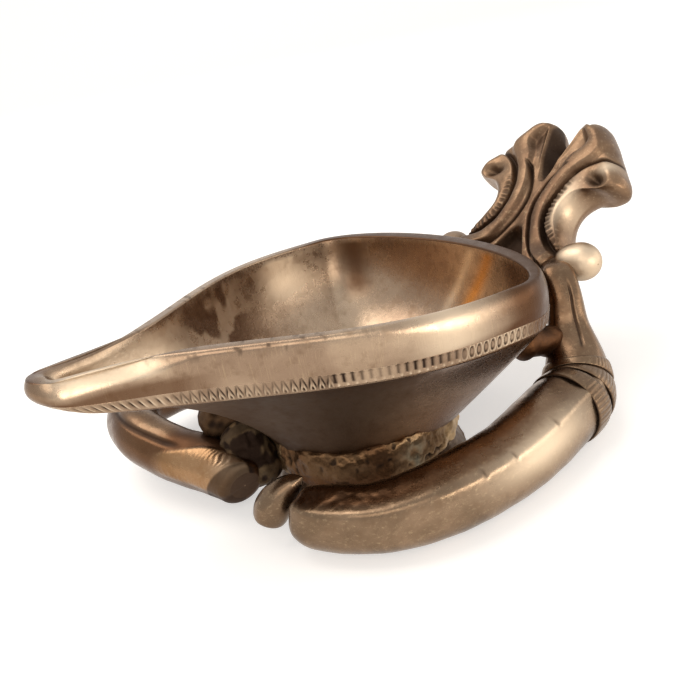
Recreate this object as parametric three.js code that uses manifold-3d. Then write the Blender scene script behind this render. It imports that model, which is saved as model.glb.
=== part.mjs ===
import * as THREE from 'three';
import { mergeVertices } from 'three/addons/utils/BufferGeometryUtils.js';
import Module from 'manifold-3d';

const wasm = await Module();
wasm.setup();

// A cast brass oil lamp with a leaf-shaped bowl.
// Millimetres, +Z up, spout towards -X, forked crest towards +X.
// Everything is laid out round the centre of the foot on the ground.

// Fit between separate castings and brazed joints
const CLEARANCE = 0.3;

// Bowl, seen from above
const RIM_LENGTH = 110.5;
const RIM_REAR_X = 41.8;
const RIM_REAR_ARC = 21.6;
const RIM_HALF_WIDTH = 37;
const SPOUT_HALF_WIDTH = 5.4;
const FLANK_START = 2.85;
const FLANK_FALL = 3.65;
const LIP_WIDTH = 2.8;
const SPOUT_LIP = 7;

// Bowl, seen from the side
const RIM_HEIGHT = 42.4;
const RIM_RISE = 0.09;
const BAND_HEIGHT = 10.8;
const BAND_TIP_HEIGHT = 7.6;
const BAND_BULGE = 0.6;
const PROW_SHARPNESS = 9;
const PROW_LENGTH = 12;
const REAR_BELLY_POWER = 1.04;
const SPOUT_BELLY_POWER = 0.74;
const BELLY_CHANGE_START = 0.1;
const BELLY_CHANGE_END = 0.55;
const FLOOR_THICKNESS = 3.5;
const REAR_HOLLOW_POWER = 2.3;
const SPOUT_HOLLOW_POWER = 1.25;

// Foot
const FOOT_HEIGHT = 7.6;
const FOOT_NECK_RADIUS = 19.6;
const FOOT_BASE_RADIUS = 23.4;
const FOOT_WALL = 4;
const FOOT_TOP_PLATE = 3;
const FOOT_FLARE = 1.6;
const FOOT_SIDES = 44;

// Rough braze that fills the corner between the foot and the bowl
const BRAZE_OUT = 2.6;
const BRAZE_UP = 7;
const BRAZE_DOWN = 2.4;
const BRAZE_ROUNDING = 0.7;

// Arms that lie round the foot. Each stop is an angle seen from above, the gap that is left
// to the foot, the bar's radius there, and how far the bar is lifted off the ground.
const NEAR_ARM = [
  [209.5, 6.6, 5, 4],
  [217, 6, 6.4, 2],
  [236, 7.4, 6.9, 1.3],
  [259, 6.5, 7.8, 0.5],
  [281, 7.3, 8.1, 0.2],
  [298.2, 9.7, 8.5, 0.1],
  [310, 13.2, 8.5, 0.1],
  [317.6, 17.4, 8.2, 0.5],
  [322, 18.9, 7.9, 1.9],
];
const FAR_ARM = [
  [175, 2.6, 5.3, 1.5],
  [160.6, 4.6, 6.5, 2.7],
  [147.5, 15, 6.4, 5.2],
  [139.4, 23.4, 6.3, 7.7],
  [125.6, 30.6, 6.3, 7.2],
  [112, 28, 6.8, 6],
  [94.3, 22.3, 7.4, 3.2],
  [73.7, 18.6, 7.9, 1.2],
  [56.6, 17.6, 8.2, 0.3],
  [44, 18.2, 8.2, 0.4],
  [38, 18.9, 7.9, 1.9],
];

// Legs from the elbows up to the crest
const LEG_START_RADIUS = 6.8;
const LEG_MIDDLE_RADIUS = 4.8;
const LEG_HEAD_RADIUS = 4;
const LEG_HEAD_SPREAD = 19.4;
const LEG_HEAD_UP = 3;

// Three raised bands round each elbow
const ELBOW_BAND_COUNT = 3;
const ELBOW_BAND_STEP = 2.9;
const ELBOW_BAND_WIDTH = 1.5;
const ELBOW_BAND_PROUD = 0.8;

// The bars' rings face along a chord this long, so they don't fold at the tight elbows
const BEND_CHORD = 9;

// Braze that joins each leg to the back of the bowl
const LEG_BRAZE_RADIUS = 3.4;
const LEG_BRAZE_DROP = 18.4;
const LEG_BRAZE_DEPTH = 11.8;
const LEG_BRAZE_SPREAD = 17;
const LEG_BRAZE_SHARE = 0.45;

// Braze between the far arm's front end and the belly above it
const ARM_BRAZE_RADIUS = 4.4;
const ARM_BRAZE_SHARE = 0.12;
const ARM_BRAZE_INSET = 3.6;
const ARM_BRAZE_RISE = 8.6;

// Crest, measured in its own leaning plane: spread sideways, up along the lean, and thickness
const CREST_LEAN = 42.7;
const CREST_SETBACK = 4.7;
const CREST_BASE_DROP = 12.4;
const CREST_FRONT_DEPTH = 1;
const CREST_THICKNESS = 9;
const CREST_ROUNDING = 1.6;
const CREST_TOP = 45.4;
const CREST_TOP_SPREAD = 7.6;
const CREST_NOTCH = 37;
const FLUKE_TIP_UP = 30;
const FLUKE_TIP_SPREAD = 22;
const WAIST_UP = 19.5;
const WAIST_SPREAD = 12.6;
const KNOB_UP = 9.5;
const KNOB_SPREAD = 20.3;
const KNOB_RADIUS = 4.5;
const CREST_ROOT_SPREAD = 13;
const CREST_ROOT_DROP = 6;
const CREST_ROOT_UP = 4;
const CREST_ROOT_REACH = 8;
const CREST_VALLEY_UP = 27;
const CREST_VALLEY_RADIUS = 6;
const RIBBON_RADIUS = 2.3;

// Small curled end piece in the front gap, laid out like the arms
const FRONT_BUD = [
  [210.5, 8.6, 3, 6.6],
  [202, 8.2, 3.1, 6.2],
  [197, 9, 3, 4.6],
  [195.4, 10.1, 2, 2.6],
];

// How finely the bars are divided
const BAR_SIDES = 20;
const BAND_SIDES = 24;
const LEG_STEPS = 12;
const MARKS_PER_STOP = 20;

const TAU = Math.PI * 2;
const vec = (x, y, z) => new THREE.Vector3(x, y, z);

function brass(colour, roughness) {
  return new THREE.MeshStandardMaterial({ color: colour, roughness, metalness: 1 });
}

function named(name, geometry, material) {
  const mesh = new THREE.Mesh(geometry, material);
  mesh.name = name;
  return mesh;
}

function geometryOf(points, faces) {
  const numbers = points.flatMap((p) => [p.x, p.y, p.z]);
  const geometry = new THREE.BufferGeometry();
  geometry.setAttribute('position', new THREE.Float32BufferAttribute(numbers, 3));
  geometry.setIndex(faces);
  return geometry;
}

// A closed skin through rings of equal length, from the first ring's middle to the last one's
function skin(rings) {
  const across = rings[0].length;
  const middle = (ring) => ring.reduce((sum, p) => sum.add(p), vec(0, 0, 0)).divideScalar(across);
  const points = [middle(rings[0]), ...rings.flat(), middle(rings[rings.length - 1])];
  const faces = [];
  const at = (ring, i) => 1 + ring * across + (i % across);
  for (let i = 0; i < across; i++) {
    faces.push(0, at(0, i + 1), at(0, i));
    for (let ring = 0; ring + 1 < rings.length; ring++) {
      faces.push(at(ring, i), at(ring, i + 1), at(ring + 1, i + 1));
      faces.push(at(ring, i), at(ring + 1, i + 1), at(ring + 1, i));
    }
    faces.push(points.length - 1, at(rings.length - 1, i), at(rings.length - 1, i + 1));
  }
  return geometryOf(points, faces);
}

// A closed band through rings of equal length, with the last ring joined to the first
function loopSkin(rings) {
  const across = rings[0].length;
  const faces = [];
  const at = (ring, i) => (ring % rings.length) * across + (i % across);
  for (let ring = 0; ring < rings.length; ring++) {
    for (let i = 0; i < across; i++) {
      faces.push(at(ring, i), at(ring, i + 1), at(ring + 1, i + 1));
      faces.push(at(ring, i), at(ring + 1, i + 1), at(ring + 1, i));
    }
  }
  return geometryOf(rings.flat(), faces);
}

function toSolid(geometry) {
  const bare = geometry.clone();
  bare.deleteAttribute('normal');
  bare.deleteAttribute('uv');
  const merged = mergeVertices(bare, 1e-5);
  return new wasm.Manifold(new wasm.Mesh({
    numProp: 3,
    vertProperties: new Float32Array(merged.getAttribute('position').array),
    triVerts: new Uint32Array(merged.getIndex().array),
  }));
}

function toGeometry(solid) {
  const mesh = solid.getMesh();
  const geometry = new THREE.BufferGeometry();
  geometry.setAttribute('position', new THREE.Float32BufferAttribute(mesh.vertProperties, 3));
  geometry.setIndex(new THREE.BufferAttribute(mesh.triVerts, 1));
  return geometry;
}

// Bowl: half of the rim's outline, from the rear round one flank to the spout's tip
const SPOUT_X = RIM_REAR_X - RIM_LENGTH;
const WIDEST_X = RIM_REAR_X - RIM_REAR_ARC;

function flankWidth(x) {
  const along = (WIDEST_X - x) / (WIDEST_X - SPOUT_X);
  const share = (1 - along ** FLANK_START) ** FLANK_FALL;
  return THREE.MathUtils.lerp(SPOUT_HALF_WIDTH, RIM_HALF_WIDTH, share);
}

function rimHalf() {
  const half = [];
  const rearSteps = 11;
  for (let i = 0; i < rearSteps; i++) {
    const turn = (i / rearSteps) * Math.PI / 2;
    half.push([WIDEST_X + RIM_REAR_ARC * Math.cos(turn), RIM_HALF_WIDTH * Math.sin(turn)]);
  }
  const capX = SPOUT_X + SPOUT_HALF_WIDTH;
  const flankSteps = 15;
  for (let i = 0; i < flankSteps; i++) {
    const x = THREE.MathUtils.lerp(WIDEST_X, capX, i / flankSteps);
    half.push([x, flankWidth(x)]);
  }
  const capSteps = 5;
  for (let i = 0; i <= capSteps; i++) {
    const turn = (i / capSteps) * Math.PI / 2;
    half.push([capX - SPOUT_HALF_WIDTH * Math.sin(turn), flankWidth(capX) * Math.cos(turn)]);
  }
  return half;
}

// The whole rim seen from above, anticlockwise from the rear, with the inner edge of its lip
function rimOutline() {
  const half = rimHalf();
  const mirrored = half.slice(1, -1).reverse().map(([x, y]) => [x, -y]);
  const points = [...half, ...mirrored].map(([x, y]) => new THREE.Vector2(x, y));
  return points.map((point, i) => {
    const before = points[(i + points.length - 1) % points.length];
    const after = points[(i + 1) % points.length];
    const inward = after.clone().sub(before).normalize().rotateAround(new THREE.Vector2(), Math.PI / 2);
    const along = (RIM_REAR_X - point.x) / RIM_LENGTH;
    const tip = THREE.MathUtils.clamp((WIDEST_X - point.x) / (WIDEST_X - SPOUT_X), 0, 1) ** PROW_SHARPNESS;
    const inner = point.clone().addScaledVector(inward, THREE.MathUtils.lerp(LIP_WIDTH, SPOUT_LIP, tip));
    return {
      reach: point.length(),
      turn: point.angle(),
      innerReach: inner.length(),
      innerTurn: inner.angle(),
      along,
      tip,
      top: RIM_HEIGHT + RIM_RISE * (WIDEST_X - point.x),
    };
  });
}

// The bowl stands on the foot, a clearance above it
const NECK_HEIGHT = FOOT_HEIGHT + CLEARANCE;

function polar(reach, turn, height) {
  return vec(reach * Math.cos(turn), reach * Math.sin(turn), height);
}

// How far out a curve still is, from 1 at its start to 0 at its end
function fallAway(share, power) {
  return (1 - share ** power) ** (1 / power);
}

function bandDepth(rim) {
  return THREE.MathUtils.lerp(BAND_HEIGHT, BAND_TIP_HEIGHT, rim.tip);
}

// The outer face: an upright band under the rim, then the belly down to the neck
function bandRing(outline, share, grow) {
  return outline.map((rim) => {
    const bulge = BAND_BULGE * Math.sin(Math.PI * share);
    const prow = rim.tip * PROW_LENGTH * (1 - Math.sqrt(1 - share * share));
    return polar(rim.reach + bulge - prow + grow, rim.turn, rim.top - share * bandDepth(rim));
  });
}

function bellyRing(outline, share, grow) {
  return outline.map((rim) => {
    const change = THREE.MathUtils.smoothstep(rim.along, BELLY_CHANGE_START, BELLY_CHANGE_END);
    const power = THREE.MathUtils.lerp(REAR_BELLY_POWER, SPOUT_BELLY_POWER, change);
    const start = rim.reach - rim.tip * PROW_LENGTH;
    const reach = THREE.MathUtils.lerp(FOOT_NECK_RADIUS, start, fallAway(share, power));
    const height = THREE.MathUtils.lerp(rim.top - bandDepth(rim), NECK_HEIGHT - grow, share);
    return polar(reach + grow, rim.turn, height);
  });
}

// The inner face: from the lip's inner edge to the middle of the floor
function hollowRing(outline, share) {
  const floor = NECK_HEIGHT + FLOOR_THICKNESS;
  return outline.map((rim) => {
    const power = THREE.MathUtils.lerp(REAR_HOLLOW_POWER, SPOUT_HOLLOW_POWER, rim.along);
    const height = THREE.MathUtils.lerp(rim.top, floor, share);
    return polar(rim.innerReach * fallAway(share, power), rim.innerTurn, height);
  });
}

function outerRings(grow) {
  const outline = rimOutline();
  const belly = [1, 0.93, 0.82, 0.66, 0.48, 0.3, 0.14].map((share) => bellyRing(outline, share, grow));
  const band = [1, 0.9, 0.7, 0.4, 0].map((share) => bandRing(outline, share, grow));
  return [...belly, ...band];
}

function bowl() {
  const outline = rimOutline();
  const hollow = [0, 0.12, 0.3, 0.5, 0.68, 0.83, 0.93, 0.985].map((share) => hollowRing(outline, share));
  return skin([...outerRings(0), ...hollow]);
}

// The bowl without its hollow, grown by a clearance, to cut what stands against it
function bowlCutter() {
  const rings = outerRings(CLEARANCE);
  rings.push(rings[rings.length - 1].map((p) => vec(p.x, p.y, p.z + CLEARANCE)));
  return toSolid(skin(rings));
}

// A lathe shape turned about the upright axis through the foot
function turned(profile) {
  const points = profile.map(([radius, height]) => new THREE.Vector2(radius, height));
  return new THREE.LatheGeometry(points, FOOT_SIDES).rotateX(Math.PI / 2);
}

// The foot's flared outside, from the ground up
function flare(grow) {
  const steps = 5;
  return Array.from({ length: steps + 1 }, (_, i) => {
    const up = i / steps;
    const radius = THREE.MathUtils.lerp(FOOT_NECK_RADIUS, FOOT_BASE_RADIUS, (1 - up) ** FOOT_FLARE);
    return [radius + grow, FOOT_HEIGHT * up];
  });
}

// Foot: a low flared casting, open below
function foot() {
  return turned([
    [0, FOOT_HEIGHT - FOOT_TOP_PLATE],
    [FOOT_NECK_RADIUS - FOOT_WALL, FOOT_HEIGHT - FOOT_TOP_PLATE],
    [FOOT_BASE_RADIUS - FOOT_WALL, 0],
    ...flare(0),
    [0, FOOT_HEIGHT],
  ]);
}

// The foot without its hollow, grown by a clearance
function footCutter() {
  const top = FOOT_HEIGHT + CLEARANCE;
  return toSolid(turned([[0, 0], ...flare(CLEARANCE), [FOOT_NECK_RADIUS + CLEARANCE, top], [0, top]]));
}

function brazeRing(grow) {
  const inner = FOOT_NECK_RADIUS - BRAZE_OUT;
  const outer = FOOT_NECK_RADIUS + BRAZE_OUT + grow;
  const bottom = FOOT_HEIGHT - BRAZE_DOWN - grow;
  const top = FOOT_HEIGHT + BRAZE_UP + grow;
  return turned([
    [inner, bottom],
    [outer - BRAZE_ROUNDING, bottom],
    [outer, bottom + BRAZE_ROUNDING],
    [outer, top - BRAZE_ROUNDING],
    [outer - BRAZE_ROUNDING, top],
    [inner, top],
    [inner, bottom],
  ]);
}

function footBraze() {
  return toSolid(brazeRing(0)).subtract(bowlCutter()).subtract(footCutter());
}

// A round bar along a smooth path. Each stop is a point and the bar's radius there.
function bar(stops) {
  const path = new THREE.CatmullRomCurve3(stops.map((stop) => stop.point), false, 'centripetal');
  path.arcLengthDivisions = (stops.length - 1) * MARKS_PER_STOP;
  return { stops, path, length: path.getLength() };
}

// How far along the bar a stop lies, from 0 to 1
function shareOfStop({ path, length }, stop) {
  return path.getLengths()[stop * MARKS_PER_STOP] / length;
}

function radiusAt({ stops, path }, share) {
  const place = path.getUtoTmapping(share) * (stops.length - 1);
  const before = Math.min(Math.floor(place), stops.length - 2);
  return THREE.MathUtils.lerp(stops[before].radius, stops[before + 1].radius, place - before);
}

function facingAt({ path, length }, share) {
  const reach = BEND_CHORD / 2 / length;
  const ahead = path.getPointAt(Math.min(share + reach, 1));
  return ahead.sub(path.getPointAt(Math.max(share - reach, 0))).normalize();
}

// One ring round the bar, grown by an amount and moved on along it by a gap
function ringAt(one, share, sides, grow = 0, gap = 0) {
  const facing = facingAt(one, share);
  const up = vec(0, 0, 1).addScaledVector(facing, -facing.z).normalize();
  const across = facing.clone().cross(up);
  const centre = one.path.getPointAt(share).addScaledVector(facing, gap);
  const radius = radiusAt(one, share) + grow;
  return Array.from({ length: sides }, (_, i) => {
    const turn = (i / sides) * TAU;
    return centre.clone()
      .addScaledVector(up, radius * Math.cos(turn))
      .addScaledVector(across, radius * Math.sin(turn));
  });
}

function sweepBar(one, from, to, steps, sides, grow = 0, gap = 0) {
  const rings = [];
  for (let step = 0; step <= steps; step++) {
    const share = THREE.MathUtils.lerp(from, to, step / steps);
    rings.push(ringAt(one, share, sides, grow, step === 0 ? gap : 0));
  }
  return skin(rings);
}

// The two bars: each is one path from its front end, round the elbow and up to the crest
function armStops(plan) {
  return plan.map(([angle, gap, radius, lift]) => {
    const reach = FOOT_BASE_RADIUS + gap + radius;
    const turn = THREE.MathUtils.degToRad(angle);
    return { point: vec(reach * Math.cos(turn), reach * Math.sin(turn), radius + lift), radius };
  });
}

// Crest frame: a spread sideways, b up along the lean, c back from the front face
const LEAN = THREE.MathUtils.degToRad(CREST_LEAN);
const CREST_FRAME = new THREE.Matrix4().makeBasis(
  vec(0, 1, 0),
  vec(Math.cos(LEAN), 0, Math.sin(LEAN)),
  vec(Math.sin(LEAN), 0, -Math.cos(LEAN)),
).setPosition(RIM_REAR_X + CREST_SETBACK, 0, RIM_HEIGHT - CREST_BASE_DROP);

function inCrest(a, b, c) {
  return vec(a, b, c).applyMatrix4(CREST_FRAME);
}

function legStops(plan, side) {
  const elbow = plan[plan.length - 1].point;
  const head = inCrest(side * LEG_HEAD_SPREAD, LEG_HEAD_UP, 0);
  const between = (x, y, z, radius) => ({
    point: vec(
      THREE.MathUtils.lerp(elbow.x, head.x, x),
      THREE.MathUtils.lerp(elbow.y, head.y, y),
      THREE.MathUtils.lerp(elbow.z, head.z, z),
    ),
    radius,
  });
  return [
    between(0.35, 0.26, 0.2, LEG_START_RADIUS),
    between(0.66, 0.59, 0.52, LEG_MIDDLE_RADIUS),
    between(0.85, 0.77, 0.83, LEG_HEAD_RADIUS),
    { point: head, radius: LEG_HEAD_RADIUS },
  ];
}

function limb(plan, side) {
  const arm = armStops(plan);
  const whole = bar([...arm, ...legStops(arm, side)]);
  return { ...whole, elbow: shareOfStop(whole, arm.length - 1) };
}

function armGeometry(one, steps) {
  return sweepBar(one, 0, one.elbow, steps, BAR_SIDES);
}

function legGeometry(one) {
  return sweepBar(one, one.elbow, 1, LEG_STEPS, BAR_SIDES, 0, CLEARANCE);
}

function legCutter(one) {
  return toSolid(sweepBar(one, one.elbow, 1, LEG_STEPS, BAR_SIDES, CLEARANCE));
}

// A raised band: its section goes once round, the crown outwards and the seat against the bar
function elbowBand(one, index) {
  const middle = one.elbow + (index - (ELBOW_BAND_COUNT - 1) / 2) * ELBOW_BAND_STEP / one.length;
  const half = ELBOW_BAND_WIDTH / 2 / one.length;
  const shoulder = THREE.MathUtils.lerp(CLEARANCE, ELBOW_BAND_PROUD, 0.5);
  const section = [
    [-1, shoulder],
    [-0.4, ELBOW_BAND_PROUD],
    [0.4, ELBOW_BAND_PROUD],
    [1, shoulder],
    [1, CLEARANCE],
    [-1, CLEARANCE],
  ];
  return loopSkin(section.map(([along, grow]) => ringAt(one, middle + along * half, BAND_SIDES, grow)));
}

// A lump of braze between two points, before what it joins is cut away
function brazeLump(from, to, radius) {
  return toSolid(sweepBar(bar([{ point: from, radius }, { point: to, radius }]), 0, 1, 4, 16));
}

function legBraze(one, side) {
  const inner = vec(RIM_REAR_X - LEG_BRAZE_DEPTH, side * LEG_BRAZE_SPREAD, RIM_HEIGHT - LEG_BRAZE_DROP);
  const outer = one.path.getPointAt(THREE.MathUtils.lerp(one.elbow, 1, LEG_BRAZE_SHARE));
  return brazeLump(inner, outer, LEG_BRAZE_RADIUS).subtract(bowlCutter()).subtract(legCutter(one));
}

// The front end of an arm, grown by a clearance
function armEndCutter(arm) {
  return toSolid(sweepBar(arm, 0, 0.2, 8, BAR_SIDES, CLEARANCE));
}

function armBraze(arm) {
  const below = arm.path.getPointAt(ARM_BRAZE_SHARE);
  const turn = Math.atan2(below.y, below.x);
  const height = below.z + ARM_BRAZE_RISE;
  const inner = polar(FOOT_NECK_RADIUS - ARM_BRAZE_RADIUS, turn, height);
  const outer = polar(Math.hypot(below.x, below.y) - ARM_BRAZE_INSET, turn, height);
  return brazeLump(inner, outer, ARM_BRAZE_RADIUS)
    .subtract(bowlCutter())
    .subtract(armEndCutter(arm))
    .subtract(footCutter())
    .subtract(toSolid(brazeRing(CLEARANCE)));
}

// Crest: a thick forked plate with a ribbon on each side of its front and a knob at each foot
function crestOutline() {
  const half = new THREE.Path();
  half.moveTo(0, -CREST_ROOT_DROP);
  half.lineTo(CREST_ROOT_SPREAD, -CREST_ROOT_DROP);
  half.lineTo(KNOB_SPREAD - KNOB_RADIUS, KNOB_UP - KNOB_RADIUS);
  half.lineTo(KNOB_SPREAD, KNOB_UP);
  half.lineTo(KNOB_SPREAD - KNOB_RADIUS, KNOB_UP + KNOB_RADIUS * 0.8);
  half.quadraticCurveTo(WAIST_SPREAD, WAIST_UP - 4, WAIST_SPREAD, WAIST_UP);
  half.quadraticCurveTo(WAIST_SPREAD + 0.4, FLUKE_TIP_UP - 2.2, FLUKE_TIP_SPREAD - 1, FLUKE_TIP_UP - 2);
  half.lineTo(FLUKE_TIP_SPREAD, FLUKE_TIP_UP);
  half.quadraticCurveTo(CREST_TOP_SPREAD + 7, CREST_TOP - 4, CREST_TOP_SPREAD + 1, CREST_TOP);
  half.quadraticCurveTo(CREST_TOP_SPREAD - 3, CREST_TOP, CREST_TOP_SPREAD - 5, CREST_TOP - 4);
  half.lineTo(0, CREST_NOTCH);
  const right = half.getPoints(5);
  const left = right.slice(1, -1).reverse().map((p) => new THREE.Vector2(-p.x, p.y));
  return new THREE.Shape([...right, ...left]);
}

function crestPlate() {
  const plate = new THREE.ExtrudeGeometry(crestOutline(), {
    depth: CREST_THICKNESS - CREST_ROUNDING * 2,
    bevelEnabled: true,
    bevelThickness: CREST_ROUNDING,
    bevelSize: CREST_ROUNDING,
    bevelOffset: -CREST_ROUNDING,
    bevelSegments: 2,
  });
  return toSolid(plate.translate(0, 0, CREST_FRONT_DEPTH + CREST_ROUNDING).applyMatrix4(CREST_FRAME));
}

// The block that reaches forward from the plate's foot to the back of the bowl
function crestRoot() {
  const back = CREST_FRONT_DEPTH + CREST_THICKNESS - CREST_ROUNDING;
  const height = CREST_ROOT_UP + CREST_ROOT_DROP;
  const block = new THREE.BoxGeometry(CREST_ROOT_SPREAD * 2, height, CREST_ROOT_REACH + back);
  block.translate(0, CREST_ROOT_UP - height / 2, (back - CREST_ROOT_REACH) / 2);
  return toSolid(block.applyMatrix4(CREST_FRAME));
}

function crestKnob(side) {
  const knob = new THREE.SphereGeometry(KNOB_RADIUS, 16, 10);
  knob.translate(side * KNOB_SPREAD, KNOB_UP, CREST_FRONT_DEPTH + KNOB_RADIUS);
  return toSolid(knob.applyMatrix4(CREST_FRAME));
}

// A bar laid on the crest. Each stop is spread, up, back and the bar's radius.
function crestBar(stops, steps, sides) {
  const placed = bar(stops.map(([a, b, c, radius]) => ({ point: inCrest(a, b, c), radius })));
  return toSolid(sweepBar(placed, 0, 1, steps, sides));
}

function crestRibbon(side) {
  return crestBar([
    [side * (LEG_HEAD_SPREAD - 3), LEG_HEAD_UP + 4, 2, RIBBON_RADIUS],
    [side * 9.6, 11.6, 2, RIBBON_RADIUS],
    [side * (WAIST_SPREAD - 7.2), WAIST_UP - 2, 1.9, RIBBON_RADIUS],
    [side * (WAIST_SPREAD - 7.4), WAIST_UP + 5, 1.9, RIBBON_RADIUS],
    [side * (CREST_TOP_SPREAD + 1), FLUKE_TIP_UP + 1.5, 2, RIBBON_RADIUS],
    [side * (CREST_TOP_SPREAD + 1.6), CREST_TOP - 7, 2.4, RIBBON_RADIUS],
  ], 14, 10);
}

// The valley between the two tops, opening upwards
function crestValley() {
  return crestBar([
    [0, CREST_VALLEY_UP, -1, 1],
    [0, CREST_NOTCH - 2, 0, CREST_VALLEY_RADIUS * 0.6],
    [0, CREST_TOP + 4, 3, CREST_VALLEY_RADIUS],
  ], 5, 12);
}

function crest(legs) {
  let solid = crestPlate().add(crestRoot());
  for (const side of [-1, 1]) {
    solid = solid.add(crestKnob(side)).add(crestRibbon(side));
  }
  for (const leg of legs) {
    solid = solid.subtract(leg);
  }
  return solid.subtract(crestValley()).subtract(bowlCutter());
}

function frontBud(arm) {
  return toSolid(sweepBar(bar(armStops(FRONT_BUD)), 0, 1, 10, 14)).subtract(armEndCutter(arm));
}

const model = new THREE.Group();
const near = limb(NEAR_ARM, -1);
const far = limb(FAR_ARM, 1);
model.add(named('bowl', bowl(), brass('#a58a6c', 0.3)));
model.add(named('foot', foot(), brass('#8e765c', 0.42)));
model.add(named('foot_braze', toGeometry(footBraze()), brass('#7d6242', 0.7)));
model.add(named('near_arm', armGeometry(near, 26), brass('#b09272', 0.3)));
model.add(named('far_arm', armGeometry(far, 34), brass('#9a7f60', 0.36)));
model.add(named('near_leg', legGeometry(near), brass('#a2876a', 0.34)));
model.add(named('far_leg', legGeometry(far), brass('#a2876a', 0.34)));
model.add(named('near_leg_braze', toGeometry(legBraze(near, -1)), brass('#8a5a40', 0.6)));
model.add(named('far_leg_braze', toGeometry(legBraze(far, 1)), brass('#8a5a40', 0.6)));
model.add(named('far_arm_braze', toGeometry(armBraze(far)), brass('#6f5638', 0.7)));
for (let i = 0; i < ELBOW_BAND_COUNT; i++) {
  model.add(named(`near_elbow_band_${i + 1}`, elbowBand(near, i), brass('#a2876a', 0.36)));
  model.add(named(`far_elbow_band_${i + 1}`, elbowBand(far, i), brass('#a2876a', 0.36)));
}
model.add(named('crest', toGeometry(crest([legCutter(near), legCutter(far)])), brass('#a0866a', 0.34)));
model.add(named('front_bud', toGeometry(frontBud(near)), brass('#8e765c', 0.4)));

// The origin is under the middle of the whole lamp
const box = new THREE.Box3().setFromObject(model);
const middle = box.getCenter(vec(0, 0, 0));
model.position.set(-middle.x, -middle.y, -box.min.z);

export default model;
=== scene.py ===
import bpy
import numpy as np
from mathutils import Matrix, Vector


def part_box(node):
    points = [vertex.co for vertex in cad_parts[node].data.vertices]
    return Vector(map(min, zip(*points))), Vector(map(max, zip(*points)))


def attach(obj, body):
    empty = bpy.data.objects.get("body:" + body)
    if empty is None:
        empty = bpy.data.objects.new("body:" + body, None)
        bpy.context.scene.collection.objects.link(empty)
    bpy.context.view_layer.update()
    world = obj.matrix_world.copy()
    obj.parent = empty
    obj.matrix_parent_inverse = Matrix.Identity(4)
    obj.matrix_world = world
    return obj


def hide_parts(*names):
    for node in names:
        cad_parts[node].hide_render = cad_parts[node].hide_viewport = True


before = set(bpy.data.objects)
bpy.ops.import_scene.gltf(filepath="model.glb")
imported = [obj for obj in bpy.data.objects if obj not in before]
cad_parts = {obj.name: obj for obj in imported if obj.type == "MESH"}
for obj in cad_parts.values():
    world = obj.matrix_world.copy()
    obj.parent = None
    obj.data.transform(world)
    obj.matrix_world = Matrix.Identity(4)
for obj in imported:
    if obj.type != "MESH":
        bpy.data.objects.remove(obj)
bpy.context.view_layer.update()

# Room: a pale floor that curves up into a backdrop, four soft lamps, and the camera, which
# stands before the spout's near side, a little above the rim. The floor keeps the shadow.

foot_low, foot_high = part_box("foot")
MM = 0.001
FOOT_CENTRE = np.array([(foot_low.x + foot_high.x) / 2, (foot_low.y + foot_high.y) / 2, foot_low.z])


def linear(code):
    """sRGB hex to a linear colour with alpha."""
    values = np.array([int(code[i:i + 2], 16) for i in (1, 3, 5)]) / 255
    low = values / 12.92
    high = ((values + 0.055) / 1.055) ** 2.4
    return (*np.where(values <= 0.04045, low, high).tolist(), 1.0)


def add_node(tree, kind, settings=None, **links):
    """Adds a node, sets its properties, and feeds each named or numbered input with a value
    or with another node's output."""
    made = tree.nodes.new(kind)
    for key, value in (settings or {}).items():
        setattr(made, key, value)
    for key, value in links.items():
        name = key.replace("_", " ").strip()
        socket = made.inputs[int(name)] if name.isdigit() else made.inputs[name]
        if isinstance(value, bpy.types.NodeSocket):
            tree.links.new(value, socket)
        else:
            socket.default_value = value
    return made


def surface(name, grid, closed_across=True, closed_along=False, poles=True):
    """A smooth mesh through a grid of points in metres, rows along by columns across. Columns
    join round when closed_across, the last row joins the first when closed_along, and poles
    closes the first and last rows with fans to their middles."""
    rows, columns = grid.shape[:2]
    points = grid.reshape(-1, 3)
    row = np.arange(rows if closed_along else rows - 1)
    column = np.arange(columns if closed_across else columns - 1)
    r, c = np.meshgrid(row, column, indexing="ij")
    r_next, c_next = (r + 1) % rows, (c + 1) % columns
    quads = np.stack([r * columns + c, r * columns + c_next,
                      r_next * columns + c_next, r_next * columns + c], -1).reshape(-1, 4)
    corners = quads.ravel()
    starts = np.arange(len(quads)) * 4
    if poles:
        ring = np.arange(columns)
        after = (ring + 1) % columns
        first, last = len(points), len(points) + 1
        top = (rows - 1) * columns
        points = np.vstack([points, grid[0].mean(0), grid[-1].mean(0)])
        fans = np.vstack([np.stack([np.full(columns, first), after, ring], -1),
                          np.stack([np.full(columns, last), top + ring, top + after], -1)])
        starts = np.concatenate([starts, len(corners) + np.arange(len(fans)) * 3])
        corners = np.concatenate([corners, fans.ravel()])
    mesh = bpy.data.meshes.new(name)
    mesh.vertices.add(len(points))
    mesh.vertices.foreach_set("co", points.astype(np.float32).ravel())
    mesh.loops.add(len(corners))
    mesh.loops.foreach_set("vertex_index", corners.astype(np.int32))
    mesh.polygons.add(len(starts))
    mesh.polygons.foreach_set("loop_start", starts.astype(np.int32))
    mesh.update(calc_edges=True)
    mesh.shade_smooth()
    made = bpy.data.objects.new(name, mesh)
    bpy.context.collection.objects.link(made)
    return made


def white_background(tree):
    """A share that is 1 for camera, glossy and transmission rays, which then see plain white,
    and 0 for every other ray."""
    rays = add_node(tree, "ShaderNodeLightPath")
    seen = add_node(tree, "ShaderNodeMath", {"operation": "MAXIMUM"},
                    _0=rays.outputs["Is Camera Ray"], _1=rays.outputs["Is Glossy Ray"])
    seen = add_node(tree, "ShaderNodeMath", {"operation": "MAXIMUM"},
                    _0=seen.outputs[0], _1=rays.outputs["Is Transmission Ray"])
    return seen.outputs[0]


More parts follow.
